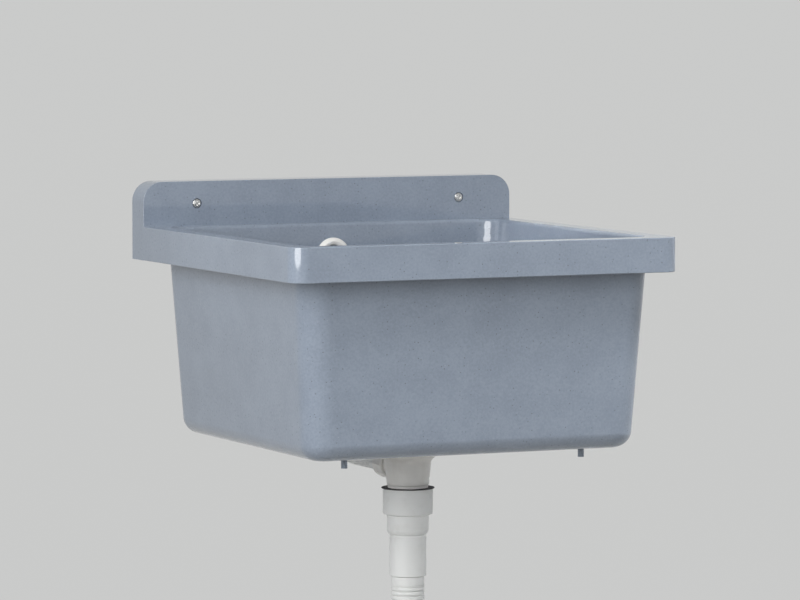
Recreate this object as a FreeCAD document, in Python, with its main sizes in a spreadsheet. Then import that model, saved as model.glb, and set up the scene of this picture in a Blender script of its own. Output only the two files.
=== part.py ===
import FreeCAD, Part
import math
import os
import re

import Sketcher
from FreeCAD import Placement, Rotation, Vector

# A moulded wall sink with splashback, overflow, waste and ribbed drain hose.
# Frame: origin midway between the two wall fixings on the wall's surface, +Z up,
# +X to the right, +Y into the wall, so the bowl stands out towards -Y.

# Driving dimensions, in millimetres and degrees
SIZES = {
    # rim and splashback
    "rim_width": 400,
    "rim_depth": 400,
    "rim_height": 33,
    "rim_corner": 16,
    "rim_edge_round": 0.7,
    "rim_wall": 4,
    "splash_height": 44,
    "splash_thickness": 30,
    "splash_corner": 20,
    "splash_edge_round": 0.4,
    "rib_thickness": 3,
    "rib_height": 22,
    # bowl
    "bowl_drop": 202,
    "bowl_draft": 3.5,
    "bowl_side_inset": 17,
    "bowl_front_inset": 16,
    "bowl_back_gap": 30.4,
    "bowl_wall": 6,
    "bowl_floor": 5,
    "bowl_corner": 25,
    "bowl_bottom_round": 17,
    "opening_round": 4,
    "peg_radius": 3,
    "peg_length": 9,
    "peg_side_inset": 47,
    "peg_front_inset": 30,
    # wall fixings
    "fixing_spacing": 286,
    "fixing_boss_radius": 9,
    "fixing_recess_radius": 5,
    "fixing_recess_depth": 2.2,
    "screw_radius": 2.4,
    "screw_neck_radius": 2,
    "screw_head_radius": 3.8,
    "screw_head_height": 2.6,
    "screw_in_wall": 44,
    # strainer in the bowl's floor
    "drain_from_wall": 216,
    "drain_hole_radius": 27,
    "drain_recess_radius": 39,
    "drain_recess": 3,
    "strainer_radius": 35,
    "strainer_plate": 2,
    "strainer_mouth_radius": 25,
    "strainer_cup_radius": 21,
    "strainer_cup_depth": 12,
    "strainer_hole_radius": 3.2,
    "strainer_hole_circle": 14,
    "strainer_screw_radius": 2.9,
    "strainer_screw_head": 6,
    "strainer_screw_length": 16,
    "gasket_thickness": 3,
    "flange_seal_thickness": 2,
    # waste body
    "waste_flange": 5,
    "waste_throat_radius": 22.5,
    "waste_throat_drop": 13,
    "waste_neck_radius": 20.5,
    "waste_neck_drop": 36,
    "tail_radius": 19.6,
    "tail_length": 24,
    "waste_bore_radius": 17.5,
    "bridge_width": 4,
    "bridge_height": 9,
    "bridge_boss_radius": 6,
    # overflow line
    "overflow_drop": 33,
    "overflow_radius": 18,
    "overflow_hole_radius": 12,
    "overflow_mouth_radius": 11,
    "overflow_cover_height": 4.5,
    "overflow_screw_radius": 2.2,
    "overflow_screw_head": 4,
    "overflow_screw_reach": 16,
    "elbow_radius": 15,
    "elbow_wall": 2.5,
    "overflow_from_wall": 16,
    "elbow_drop": 36,
    "branch_drop": 27,
    "branch_reach": 50,
    "branch_radius": 8.6,
    "branch_bore_radius": 6.4,
    "thread_radius": 10.4,
    "thread_length": 16,
    "nut_radius": 12.9,
    "nut_grip": 14,
    "nut_lip": 4,
    "nut_rib": 0.7,
    "nut_rib_width": 2,
    "hose_seal_thickness": 2.5,
    "overflow_hose_radius": 8.2,
    "overflow_rib_depth": 1.4,
    "overflow_hose_bore": 5.6,
    "overflow_rib_pitch": 5,
    "overflow_bend": 76,
    "overflow_plain_end": 22,
    "hose_flange_radius": 9.9,
    "hose_flange": 2,
    # cuff and drain hose
    "cuff_overlap": 20,
    "cuff_top_radius": 24.25,
    "cuff_top_length": 25,
    "cuff_middle_radius": 20.2,
    "cuff_middle_length": 19,
    "cuff_lower_radius": 17.85,
    "cuff_lower_length": 41,
    "cuff_end_radius": 15.85,
    "cuff_end_length": 9,
    "cuff_step": 0.8,
    "cuff_wall": 2.2,
    "lip_seal_height": 9,
    "lip_flange_radius": 25.8,
    "lip_flange": 0.8,
    "hose_radius": 16,
    "hose_rib_depth": 2.4,
    "hose_bore": 12,
    "hose_rib_pitch": 4.4,
    "hose_ribbed_length": 211,
    "hose_plain_end": 4,
    "spigot_radius": 16,
    "spigot_collar_radius": 19,
    "spigot_collar": 5,
    "spigot_length": 58,
    "spigot_bore": 13.4,
    # rubber plug
    "plug_height": 11,
    "plug_rim_height": 3,
    "plug_seat_gap": 0.4,
    "plug_hollow_radius": 17,
    "plug_hollow": 3.5,
    "tab_thickness": 4,
    "tab_width": 9,
    "tab_height": 9,
    "ring_radius": 9,
    "ring_wire_radius": 1.2,
    "ring_eye_radius": 1.7,
    # clearances
    "fit_gap": 0.1,
    "slip_gap": 0.4,
    # overrun of cutting tools, and small broken edges
    "overrun": 1,
    "edge_break": 1,
}
SPLASH_RIBS = 3
SIDE_RIBS = 3
FRONT_RIBS = 3
STRAINER_HOLES = 8
NUT_RIBS = 10
# Distance under which two places count as one when edges are picked
SAME_PLACE = 1e-4
# Where a rib's root, crest, crest and root lie, as shares of the pitch
RIB_SHARES = (0.08, 0.22, 0.68, 0.82)

doc = FreeCAD.newDocument("wall_sink")
sheet = doc.addObject("Spreadsheet::Sheet", "Sizes")
for row, (alias, number) in enumerate(SIZES.items(), start=1):
    sheet.set(f"A{row}", str(number))
    sheet.setAlias(f"A{row}", alias)
doc.recompute()

# Levels and places that several pieces share, as expressions on the sheet
RIM_TOP = "(-splash_height / 2)"
RIM_UNDER = f"({RIM_TOP} - rim_height)"
DECK_UNDER = f"({RIM_TOP} - rim_wall)"
BOWL_UNDER = f"({RIM_TOP} - bowl_drop)"
FLOOR_TOP = f"({BOWL_UNDER} + bowl_floor)"
RECESS = f"({FLOOR_TOP} - drain_recess)"
BOSS_UNDER = f"({RECESS} - bowl_floor)"
WASTE_TOP = f"({BOSS_UNDER} - gasket_thickness)"
NECK_END = f"({WASTE_TOP} - waste_neck_drop)"
TAIL_END = f"({NECK_END} - tail_length)"
DRAIN_Y = "(-drain_from_wall)"
PLATE_UNDER = f"({RECESS} + flange_seal_thickness)"
PLATE_TOP = f"({PLATE_UNDER} + strainer_plate)"
CUP_FLOOR = f"({PLATE_TOP} - strainer_cup_depth)"
CUP_UNDER = f"({CUP_FLOOR} - strainer_plate)"
BRANCH_Z = f"({BOWL_UNDER} - branch_drop)"
OVERFLOW_Z = f"({RIM_TOP} - overflow_drop)"
OVERFLOW_Y = "(-bowl_back_gap - bowl_wall - overflow_drop * tan(bowl_draft * 1 deg))"
ELBOW_END = f"({OVERFLOW_Z} - elbow_drop)"
CUFF_TOP = f"({TAIL_END} + cuff_overlap)"
CUFF_SHOULDER = f"({CUFF_TOP} - cuff_top_length)"
CUFF_WAIST = f"({CUFF_SHOULDER} - cuff_middle_length)"
CUFF_FOOT = f"({CUFF_WAIST} - cuff_lower_length)"
CUFF_END = f"({CUFF_FOOT} - cuff_end_length)"
HOSE_END = f"({CUFF_END} - hose_ribbed_length - 2 * hose_plain_end)"
FIXINGS = ("-fixing_spacing / 2", "fixing_spacing / 2")

TO_WALL = Rotation(Vector(1, 0, 0), -90)
FROM_WALL = Rotation(Vector(1, 0, 0), 90)
DOWN = Rotation(Vector(1, 0, 0), 180)
UPRIGHT = Rotation()


def value(expression):
    """Work out an expression on the sheet as a number."""
    return float(sheet.evalExpression(expression))


def bind(item, prop, expression):
    """Drive a property of a document object by an expression on the sheet."""
    names = re.sub(r"[a-z_]{3,}", lambda m: f"Sizes.{m[0]}" if m[0] in SIZES else m[0], expression)
    item.setExpression(prop, names)


def place(item, where=("0", "0", "0"), turn=UPRIGHT):
    """Turn an object and drive its position by three expressions."""
    item.Placement = Placement(Vector(*[value(part) for part in where]), turn)
    for axis, expression in zip("xyz", where):
        bind(item, f"Placement.Base.{axis}", expression)
    return item


def new_body(label):
    """Start a body under its label."""
    body = doc.addObject("PartDesign::Body", label)
    body.Label = label
    return body


def sketch_on(body, name, plane, offset="0"):
    """Put a sketch on one of the body's own origin planes, moved along its normal."""
    sketch = body.newObject("Sketcher::SketchObject", name)
    support = next(item for item in body.Origin.OriginFeatures if item.Role == plane)
    sketch.AttachmentSupport = (support, [""])
    sketch.MapMode = "FlatFace"
    bind(sketch, "AttachmentOffset.Base.z", offset)
    return sketch


def draw_outline(sketch, corners):
    """Draw a closed outline whose corners are pairs of expressions."""
    points = [Vector(value(across), value(up), 0) for across, up in corners]
    count = len(points)
    for index in range(count):
        sketch.addGeometry(Part.LineSegment(points[index], points[(index + 1) % count]), False)
    for index in range(count):
        sketch.addConstraint(Sketcher.Constraint("Coincident", index, 2, (index + 1) % count, 1))
    for index, corner in enumerate(corners):
        for kind, expression in zip(("DistanceX", "DistanceY"), corner):
            rule = Sketcher.Constraint(kind, -1, 1, index, 1, value(expression))
            bind(sketch, f"Constraints[{sketch.addConstraint(rule)}]", expression)


def rectangle(left, right, low, high):
    """Give the four corners of a rectangle."""
    return [(left, low), (right, low), (right, high), (left, high)]


def pad(body, name, sketch, length, draft="0", reverse=False):
    """Pad a sketch, narrowing by a draft angle where one is given."""
    feature = body.newObject("PartDesign::Pad", name)
    feature.Profile = sketch
    feature.Reversed = reverse
    bind(feature, "Length", length)
    if draft != "0":
        bind(feature, "TaperAngle", f"-{draft}")
    doc.recompute()
    return feature


def edge_names(shape, test):
    """Name the edges of a shape that pass a test."""
    return [f"Edge{index}" for index, edge in enumerate(shape.Edges, start=1) if test(edge)]


def round_edges(body, name, radius, test):
    """Fillet the edges of the body so far that pass a test."""
    base = body.Tip
    names = edge_names(base.Shape, test)
    feature = body.newObject("PartDesign::Fillet", name)
    feature.Base = (base, names)
    bind(feature, "Radius", radius)
    doc.recompute()
    return feature


def level(edge, height):
    """Say whether an edge lies flat at a height."""
    box = edge.BoundBox
    return abs(box.ZMin - height) < SAME_PLACE and abs(box.ZMax - height) < SAME_PLACE


def upright(edge):
    """Say whether an edge runs up and down."""
    return edge.BoundBox.ZLength > max(edge.BoundBox.XLength, edge.BoundBox.YLength)


def clear_of_wall(edge):
    """Say whether an edge lies wholly in front of the wall's surface."""
    return edge.BoundBox.YMax < -value("edge_break")


def runs_to_wall(edge):
    """Say whether an edge runs towards the wall."""
    return edge.BoundBox.YLength > value("edge_break")


def turned(label, profile, where=("0", "0", "0"), turn=UPRIGHT):
    """Revolve a closed outline of (radius, height) expressions about the body's own Z."""
    body = new_body(label)
    sketch = sketch_on(body, f"{label}_profile", "XZ_Plane")
    draw_outline(sketch, profile)
    feature = body.newObject("PartDesign::Revolution", f"{label}_revolve")
    feature.Profile = sketch
    feature.ReferenceAxis = (sketch, ["V_Axis"])
    feature.Angle = 360
    doc.recompute()
    return place(body, where, turn)


def repeat_around(body, name, feature, sketch, count):
    """Repeat a feature evenly about the axis through its sketch's origin."""
    pattern = body.newObject("PartDesign::PolarPattern", name)
    pattern.Originals = [feature]
    pattern.Axis = (sketch, ["N_Axis"])
    pattern.Angle = 360
    pattern.Occurrences = count
    body.Tip = pattern
    doc.recompute()


def ring(label, inner, outer, low, high, where, turn=UPRIGHT):
    """Make a flat ring between two radii and two heights."""
    return turned(label, rectangle(inner, outer, low, high), where, turn)


def cylinder(name, radius, length, where, turn=UPRIGHT):
    """Make a cylinder from a place along the turned Z."""
    item = doc.addObject("Part::Cylinder", name)
    bind(item, "Radius", radius)
    bind(item, "Height", length)
    return place(item, where, turn)


def block(name, low, size, turn=UPRIGHT):
    """Make a box from its low corner and its three lengths."""
    item = doc.addObject("Part::Box", name)
    for prop, expression in zip(("Length", "Width", "Height"), size):
        bind(item, prop, expression)
    return place(item, low, turn)


def fuse(name, *items):
    """Join objects into one."""
    joined = doc.addObject("Part::MultiFuse", name)
    joined.Shapes = list(items)
    joined.Refine = True
    joined.Label = name
    doc.recompute()
    return joined


def cut(name, base, *tools):
    """Take tools away from a base."""
    tool = tools[0] if len(tools) == 1 else fuse(f"{name}_tools", *tools)
    item = doc.addObject("Part::Cut", name)
    item.Base = base
    item.Tool = tool
    item.Refine = True
    item.Label = name
    doc.recompute()
    return item


def common(name, first, second):
    """Keep what two objects share."""
    item = doc.addObject("Part::Common", name)
    item.Base = first
    item.Tool = second
    doc.recompute()
    return item


def group(label, items):
    """Gather equal pieces as separate solids of one node."""
    item = doc.addObject("Part::Compound", label)
    item.Links = list(items)
    item.Label = label
    doc.recompute()
    return item


# Basin: rim, splashback and bowl in one hollow moulding
def rim_block():
    """Rim as a solid slab with rounded front corners and edges."""
    body = new_body("rim_block")
    plan = sketch_on(body, "rim_plan", "XY_Plane", RIM_TOP)
    draw_outline(plan, rectangle("-rim_width / 2", "rim_width / 2", "-rim_depth", "0"))
    pad(body, "rim_pad", plan, "rim_height", reverse=True)
    round_edges(body, "rim_corners", "rim_corner", lambda e: upright(e) and clear_of_wall(e))
    top, under = value(RIM_TOP), value(RIM_UNDER)
    round_edges(
        body, "rim_edges", "rim_edge_round",
        lambda e: (level(e, top) or level(e, under)) and e.BoundBox.YMin < -value("edge_break"),
    )
    return body


def splash_block():
    """Splashback as a solid slab with rounded top corners and front edges."""
    body = new_body("splash_block")
    face = sketch_on(body, "splash_face", "XZ_Plane")
    draw_outline(face, rectangle("-rim_width / 2", "rim_width / 2", RIM_UNDER, "splash_height / 2"))
    pad(body, "splash_pad", face, "splash_thickness")
    top, front, low = value("splash_height / 2"), value("-splash_thickness"), value(RIM_UNDER)
    round_edges(body, "splash_corners", "splash_corner", lambda e: level(e, top) and runs_to_wall(e))
    round_edges(
        body, "splash_edges", "splash_edge_round",
        lambda e: abs(e.BoundBox.YMin - front) < SAME_PLACE and e.BoundBox.YLength < SAME_PLACE and not level(e, low),
    )
    return body


def bowl_block():
    """Outside of the bowl as a drafted solid with rounded corners, floor boss and front pegs."""
    body = new_body("bowl_block")
    side = "rim_width / 2 - bowl_side_inset"
    plan = sketch_on(body, "bowl_plan", "XY_Plane", RIM_TOP)
    front, back = "-rim_depth + bowl_front_inset", "-bowl_back_gap"
    draw_outline(plan, rectangle(f"-({side})", side, front, back))
    pad(body, "bowl_pad", plan, "bowl_drop", "bowl_draft", reverse=True)
    round_edges(body, "bowl_corners", "bowl_corner", upright)
    under = value(BOWL_UNDER)
    round_edges(body, "bowl_bottom", "bowl_bottom_round", lambda e: level(e, under))
    place_of_boss = ("0", DRAIN_Y, BOSS_UNDER)
    boss = cylinder("drain_boss", "drain_recess_radius + bowl_wall", "bowl_floor", place_of_boss)
    shrink = "bowl_drop * tan(bowl_draft * 1 deg)"
    peg_x = f"{side} - {shrink} - peg_side_inset"
    peg_front = f"{front} + {shrink} + peg_front_inset"
    peg_low = f"{BOWL_UNDER} - peg_length"
    peg_height = "peg_length + bowl_floor / 2"
    pegs = [
        cylinder(f"peg_{number}", "peg_radius", peg_height, (x, peg_front, peg_low))
        for number, x in enumerate((f"-({peg_x})", peg_x))
    ]
    return fuse("bowl_outside", body, boss, *pegs)


def bowl_space():
    """Inside of the bowl: the outside plan drawn in by the wall, with the same draft."""
    body = new_body("bowl_space")
    side = "rim_width / 2 - bowl_side_inset - bowl_wall"
    plan = sketch_on(body, "space_plan", "XY_Plane", RIM_TOP)
    front, back = "-rim_depth + bowl_front_inset + bowl_wall", "-bowl_back_gap - bowl_wall"
    draw_outline(plan, rectangle(f"-({side})", side, front, back))
    pad(body, "space_pad", plan, "bowl_drop - bowl_floor", "bowl_draft", reverse=True)
    round_edges(body, "space_corners", "bowl_corner - bowl_wall", upright)
    floor = value(FLOOR_TOP)
    round_edges(body, "space_bottom", "bowl_bottom_round - bowl_wall", lambda e: level(e, floor))
    return body


def rim_hollow():
    """Space under the rim's deck inside its skirt, open below and towards the wall."""
    body = new_body("rim_hollow")
    side = "rim_width / 2 - rim_wall"
    plan = sketch_on(body, "hollow_plan", "XY_Plane", RIM_UNDER)
    draw_outline(plan, rectangle(f"-({side})", side, "-rim_depth + rim_wall", "rim_wall"))
    pad(body, "hollow_pad", plan, "rim_height - rim_wall")
    round_edges(
        body, "hollow_corners", "rim_corner - rim_wall", lambda e: upright(e) and clear_of_wall(e)
    )
    return body


def splash_hollow():
    """Space behind the splashback's front wall, open towards the wall and to the rim's space."""
    body = new_body("splash_hollow")
    side, top = "rim_width / 2 - rim_wall", "splash_height / 2 - rim_wall"
    face = sketch_on(body, "splash_hollow_face", "XZ_Plane", "-rim_wall")
    draw_outline(face, rectangle(f"-({side})", side, RIM_UNDER, top))
    pad(body, "splash_hollow_pad", face, "splash_thickness")
    ceiling = value(top)
    round_edges(
        body, "splash_hollow_corners", "splash_corner - rim_wall",
        lambda e: level(e, ceiling) and runs_to_wall(e),
    )
    return body


def stiffeners():
    """Ribs behind the splashback and across the channel under the rim."""
    ribs = []
    half = "rib_thickness / 2"
    deep = "splash_thickness - rim_wall / 2"
    for number in range(SPLASH_RIBS):
        x = f"fixing_spacing * {number + 1} / {SPLASH_RIBS + 1} - fixing_spacing / 2 - {half}"
        size = ("rib_thickness", deep, "splash_height - rim_wall / 2")
        ribs.append(block(f"splash_rib_{number}", (x, f"-({deep})", DECK_UNDER), size))
    low = f"{DECK_UNDER} - rib_height"
    across = "bowl_side_inset + bowl_wall / 2 - rim_wall / 2"
    tall = "rib_height + rim_wall / 2"
    for number in range(SIDE_RIBS):
        y = f"-rim_depth * {number + 1} / {SIDE_RIBS + 1} - {half}"
        size = (across, "rib_thickness", tall)
        ribs.append(block(f"left_rib_{number}", ("-rim_width / 2 + rim_wall / 2", y, low), size))
        right = f"rim_width / 2 - rim_wall / 2 - ({across})"
        ribs.append(block(f"right_rib_{number}", (right, y, low), size))
    for number in range(FRONT_RIBS):
        x = f"rim_width * {number + 1} / {FRONT_RIBS + 1} - rim_width / 2 - {half}"
        size = ("rib_thickness", "bowl_front_inset + bowl_wall / 2 - rim_wall / 2", tall)
        ribs.append(block(f"front_rib_{number}", (x, "-rim_depth + rim_wall / 2", low), size))
    return ribs


def basin():
    """Hollow rim and splashback joined to the bowl, with its holes, in one piece."""
    slabs = fuse("slabs", rim_block(), splash_block())
    hollow = cut("hollow_slabs", slabs, rim_hollow(), splash_hollow())
    boss_length = "splash_thickness - rim_wall / 2"
    bosses = [
        cylinder(f"fixing_boss_{number}", "fixing_boss_radius", boss_length, (x, "0", "0"), FROM_WALL)
        for number, x in enumerate(FIXINGS)
    ]
    whole = fuse("basin_whole", hollow, bowl_block(), *bosses, *stiffeners())
    holes = [bowl_space()]
    recess_length = "fixing_recess_depth + overrun"
    bore_radius, bore_length = "screw_radius + slip_gap", "splash_thickness + 2 * overrun"
    for number, x in enumerate(FIXINGS):
        start = (x, "-splash_thickness - overrun", "0")
        recess = cylinder(f"fixing_recess_{number}", "fixing_recess_radius", recess_length, start, TO_WALL)
        bore = cylinder(f"fixing_bore_{number}", bore_radius, bore_length, start, TO_WALL)
        holes += [recess, bore]
    bore_low = ("0", DRAIN_Y, f"{BOSS_UNDER} - overrun")
    holes.append(cylinder("drain_bore", "drain_hole_radius", "bowl_floor + 2 * overrun", bore_low))
    holes.append(cylinder("drain_seat", "drain_recess_radius", "bowl_floor", ("0", DRAIN_Y, RECESS)))
    through = overflow_piece_place("-overrun")
    holes.append(cylinder("overflow_bore", "overflow_hole_radius", "bowl_wall + 2 * overrun", *through))
    body = cut("basin_cut", whole, *holes)
    top = value(RIM_TOP)
    side = value("rim_width / 2 - bowl_side_inset")
    mouth = [
        index
        for index, edge in enumerate(body.Shape.Edges, start=1)
        if level(edge, top)
        and edge.BoundBox.YMax < value("-splash_thickness - edge_break")
        and edge.BoundBox.YMin > value("-rim_depth + bowl_front_inset")
        and max(abs(edge.BoundBox.XMin), abs(edge.BoundBox.XMax)) < side
    ]
    rounded = doc.addObject("Part::Fillet", "basin")
    rounded.Base = body
    radius = value("opening_round")
    rounded.Edges = [(index, radius, radius) for index in mouth]
    rounded.Label = "basin"
    doc.recompute()
    return rounded


def overflow_turn():
    """Rotation that points a piece's Z out through the drafted back wall of the bowl."""
    return Rotation(Vector(1, 0, 0), -90 - value("bowl_draft"))


def overflow_piece_place(along):
    """Place on the overflow's axis, a distance outwards from the bowl's inner face."""
    slope = "bowl_draft * 1 deg"
    y = f"{OVERFLOW_Y} + ({along}) * cos({slope})"
    z = f"{OVERFLOW_Z} - ({along}) * sin({slope})"
    return ("0", y, z), overflow_turn()


# Wall fixings
def wall_screws():
    """Two pan-head screws through the splashback, long enough for plugs in the wall."""
    seat = "splash_thickness - fixing_recess_depth"
    tip = "-screw_in_wall"
    point = "2 * screw_radius"
    profile = [
        ("0", f"{seat} + screw_head_height"),
        ("0", tip),
        ("screw_radius", f"{tip} + {point}"),
        ("screw_radius", "0"),
        ("screw_neck_radius", "0"),
        ("screw_neck_radius", seat),
        ("screw_head_radius", seat),
        ("screw_head_radius", f"{seat} + screw_head_height / 2"),
        ("screw_head_radius / 2", f"{seat} + screw_head_height"),
    ]
    screws = [
        turned(f"wall_screw_{number}", profile, (x, "0", "0"), FROM_WALL)
        for number, x in enumerate(FIXINGS)
    ]
    return group("wall_screws", screws)


# Overflow at the back of the bowl
def overflow_cover():
    """Domed ring inside the bowl with a crossed bridge that takes the screw."""
    high = "overflow_cover_height"
    profile = [
        ("overflow_mouth_radius", "0"),
        ("overflow_mouth_radius", f"-{high} / 2"),
        ("(overflow_mouth_radius + overflow_radius) / 2 - edge_break", f"-{high}"),
        ("(overflow_mouth_radius + overflow_radius) / 2 + edge_break", f"-{high}"),
        ("overflow_radius", f"-{high} / 3"),
        ("overflow_radius", "0"),
    ]
    dome = turned("overflow_dome", profile, *overflow_piece_place("0"))
    where, turn = overflow_piece_place(f"-{high} / 2")
    hub = cylinder("overflow_hub", "2 * overflow_screw_radius", f"{high} / 2", where, turn)
    bars = []
    for number, spin in enumerate((45, 135)):
        bar = doc.addObject("Part::Box", f"overflow_bar_{number}")
        bind(bar, "Length", "2 * (overflow_mouth_radius + overrun)")
        bind(bar, "Width", "rib_thickness")
        bind(bar, "Height", f"{high} / 2")
        facing = turn.multiply(Rotation(Vector(0, 0, 1), spin))
        corner = Vector(-value("overflow_mouth_radius + overrun"), -value("rib_thickness / 2"), 0)
        centre = Vector(*[value(part) for part in where])
        bar.Placement = Placement(centre + facing.multVec(corner), facing)
        bars.append(bar)
    start, turn = overflow_piece_place(f"-{high}")
    hole = cylinder("overflow_cover_hole", "overflow_screw_radius + fit_gap", f"2 * {high}", start, turn)
    return cut("overflow_cover", fuse("overflow_rosette", dome, hub, *bars), hole)


def overflow_screw():
    """Screw that draws the cover and the elbow together through the wall."""
    seat = "overflow_cover_height / 2"
    size = "overflow_screw_radius"
    profile = [
        ("0", "overflow_screw_reach"),
        ("0", f"-{seat} - {size}"),
        (size, f"-{seat} - {size}"),
        ("overflow_screw_head", f"-{seat} - {size} / 2"),
        ("overflow_screw_head", f"-{seat}"),
        (size, f"-{seat}"),
        (size, "overflow_screw_reach"),
    ]
    return turned("overflow_screw", profile, *overflow_piece_place("0"))


FLANGE_START = "bowl_wall + gasket_thickness"


def overflow_gasket():
    """Flat rubber ring between the bowl's back wall and the elbow's flange."""
    inner, outer = "overflow_hole_radius + slip_gap", "elbow_radius + rim_wall"
    return ring("overflow_gasket", inner, outer, "bowl_wall", FLANGE_START, *overflow_piece_place("0"))


def overflow_elbow():
    """Flanged elbow that turns the overflow down behind the bowl."""
    flange = "elbow_radius + rim_wall"
    back = f"(-({OVERFLOW_Y}) - overflow_from_wall + thread_radius)"
    profile = [
        ("0", FLANGE_START),
        (flange, FLANGE_START),
        (flange, f"{FLANGE_START} + rim_wall"),
        ("elbow_radius", f"{FLANGE_START} + rim_wall"),
        ("elbow_radius", f"{back} - elbow_wall"),
        ("elbow_radius - elbow_wall", back),
        ("0", back),
    ]
    housing = turned("elbow_housing", profile, *overflow_piece_place("0"))
    outlet = ("0", "-overflow_from_wall")
    stem = cylinder("elbow_stem", "branch_radius", "elbow_drop", (*outlet, ELBOW_END))
    thread = cylinder("elbow_thread", "thread_radius", "thread_length", (*outlet, ELBOW_END))
    outside = fuse("elbow_outside", housing, stem, thread)
    start, turn = overflow_piece_place(f"{FLANGE_START} - overrun")
    chamber_length = f"{back} - elbow_wall - ({FLANGE_START}) + overrun"
    chamber = cylinder("elbow_chamber", "elbow_radius - elbow_wall", chamber_length, start, turn)
    drop_start = (*outlet, f"{ELBOW_END} - overrun")
    drop = cylinder("elbow_drop_bore", "branch_bore_radius", "elbow_drop + overrun", drop_start)
    shell = cut("elbow_shell", outside, chamber, drop)
    base, turn = overflow_piece_place(FLANGE_START)
    boss_length = f"overflow_screw_reach - ({FLANGE_START})"
    boss = cylinder("elbow_boss", "2 * overflow_screw_radius", boss_length, base, turn)
    web = doc.addObject("Part::Box", "elbow_web")
    bind(web, "Length", "2 * elbow_radius - elbow_wall")
    bind(web, "Width", "rib_thickness")
    bind(web, "Height", f"({boss_length}) / 2")
    corner = Vector(-value("elbow_radius - elbow_wall / 2"), -value("rib_thickness / 2"), 0)
    web.Placement = Placement(Vector(*[value(part) for part in base]) + turn.multVec(corner), turn)
    hole_length = f"{boss_length} + overrun"
    hole = cylinder("elbow_screw_hole", "overflow_screw_radius + fit_gap", hole_length, base, turn)
    return cut("overflow_elbow", fuse("elbow_bridged", shell, boss, web), hole)


def union_pieces(prefix, where, turn):
    """Nut and seal that hold the hose's flange against a threaded end."""
    shoulder = "hose_seal_thickness + hose_flange + slip_gap"
    inner, lip = "thread_radius + slip_gap", "overflow_hose_radius + slip_gap"
    profile = [
        (inner, "-nut_grip"),
        ("nut_radius", "-nut_grip"),
        ("nut_radius", shoulder),
        ("nut_radius - nut_lip / 2", f"{shoulder} + nut_lip"),
        (lip, f"{shoulder} + nut_lip"),
        (lip, shoulder),
        (inner, shoulder),
    ]
    nut = turned(f"{prefix}_nut", profile, where, turn)
    grip = sketch_on(nut, f"{prefix}_grip_plan", "XY_Plane", "-nut_grip")
    outer, half = "nut_radius + nut_rib", "nut_rib_width / 2"
    draw_outline(grip, rectangle("nut_radius - nut_rib", outer, f"-{half}", half))
    bar = pad(nut, f"{prefix}_grip_bar", grip, f"nut_grip + {shoulder}")
    repeat_around(nut, f"{prefix}_grip_bars", bar, grip, NUT_RIBS)
    inner, outer = "branch_bore_radius", "hose_flange_radius"
    seal = ring(f"{prefix}_seal", inner, outer, "0", "hose_seal_thickness", where, turn)
    return [nut, seal]


def overflow_route():
    """Points, bend and length of the overflow hose: level from the branch, then up to the elbow."""
    start = Vector(0, value(f"{DRAIN_Y} + branch_reach + hose_seal_thickness"), value(BRANCH_Z))
    end = Vector(0, value("-overflow_from_wall"), value(f"{ELBOW_END} - hose_seal_thickness"))
    bend = value("overflow_bend")
    level_run = end.y - bend - start.y
    upright_run = end.z - bend - start.z
    return start, end, bend, level_run, upright_run


def along_overflow(distance):
    """Place and tilt of the overflow hose's section at a distance along it."""
    start, end, bend, level_run, _ = overflow_route()
    arc = bend * math.pi / 2
    if distance <= level_run:
        return start + Vector(0, distance, 0), 0.0
    if distance <= level_run + arc:
        angle = (distance - level_run) / bend
        along, rise = level_run + bend * math.sin(angle), bend * (1 - math.cos(angle))
        return start + Vector(0, along, rise), math.degrees(angle)
    return Vector(0, end.y, start.z + bend + distance - level_run - arc), 90.0


def ribbed_outside(stations):
    """Ruled loft through circles given as (centre, rotation, radius)."""
    wires = []
    for centre, turn, radius in stations:
        circle = Part.makeCircle(radius)
        circle.Placement = Placement(centre, turn)
        wires.append(Part.Wire([circle]))
    return Part.makeLoft(wires, True, True)


def rib_profile(start, pitch, crest, root):
    """Four (distance, radius) pairs of one rib."""
    places = [start + share * pitch for share in RIB_SHARES]
    return list(zip(places, (root, crest, crest, root)))


def overflow_hose():
    """Ribbed hose from the waste's branch up to the overflow elbow, flanged at both ends."""
    start, end, bend, level_run, upright_run = overflow_route()
    length = level_run + bend * math.pi / 2 + upright_run
    print(f"overflow hose: bend radius {bend:.1f}, length {length:.1f}")
    crest = value("overflow_hose_radius")
    root = crest - value("overflow_rib_depth")
    flange, flange_radius = value("hose_flange"), value("hose_flange_radius")
    plain = value("overflow_plain_end")
    count = round((length - 2 * plain) / value("overflow_rib_pitch"))
    pitch = (length - 2 * plain) / count
    shoulder = flange + value("slip_gap")
    sections = [(0, flange_radius), (flange, flange_radius), (shoulder, root)]
    for number in range(count):
        sections += rib_profile(plain + number * pitch, pitch, crest, root)
    sections += [(length - shoulder, root), (length - flange, flange_radius), (length, flange_radius)]
    stations = []
    for distance, radius in sections:
        centre, tilt = along_overflow(distance)
        stations.append((centre, Rotation(Vector(1, 0, 0), tilt - 90), radius))
    outside = ribbed_outside(stations)
    middle = along_overflow(level_run + bend * math.pi / 4)[0]
    first, last = along_overflow(level_run)[0], along_overflow(level_run + bend * math.pi / 2)[0]
    path = Part.Wire([
        Part.LineSegment(start, first).toShape(),
        Part.Arc(first, middle, last).toShape(),
        Part.LineSegment(last, end).toShape(),
    ])
    circle = Part.makeCircle(value("overflow_hose_bore"), start, Vector(0, 1, 0))
    bore = path.makePipeShell([Part.Wire([circle])], True, False)
    expected = math.pi * value("overflow_hose_bore") ** 2 * length
    print(f"overflow bore: volume {bore.Volume:.0f} against section times length {expected:.0f}")
    hose = doc.addObject("Part::Feature", "overflow_hose")
    hose.Shape = outside.cut(bore)
    hose.Label = "overflow_hose"
    return hose


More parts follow.
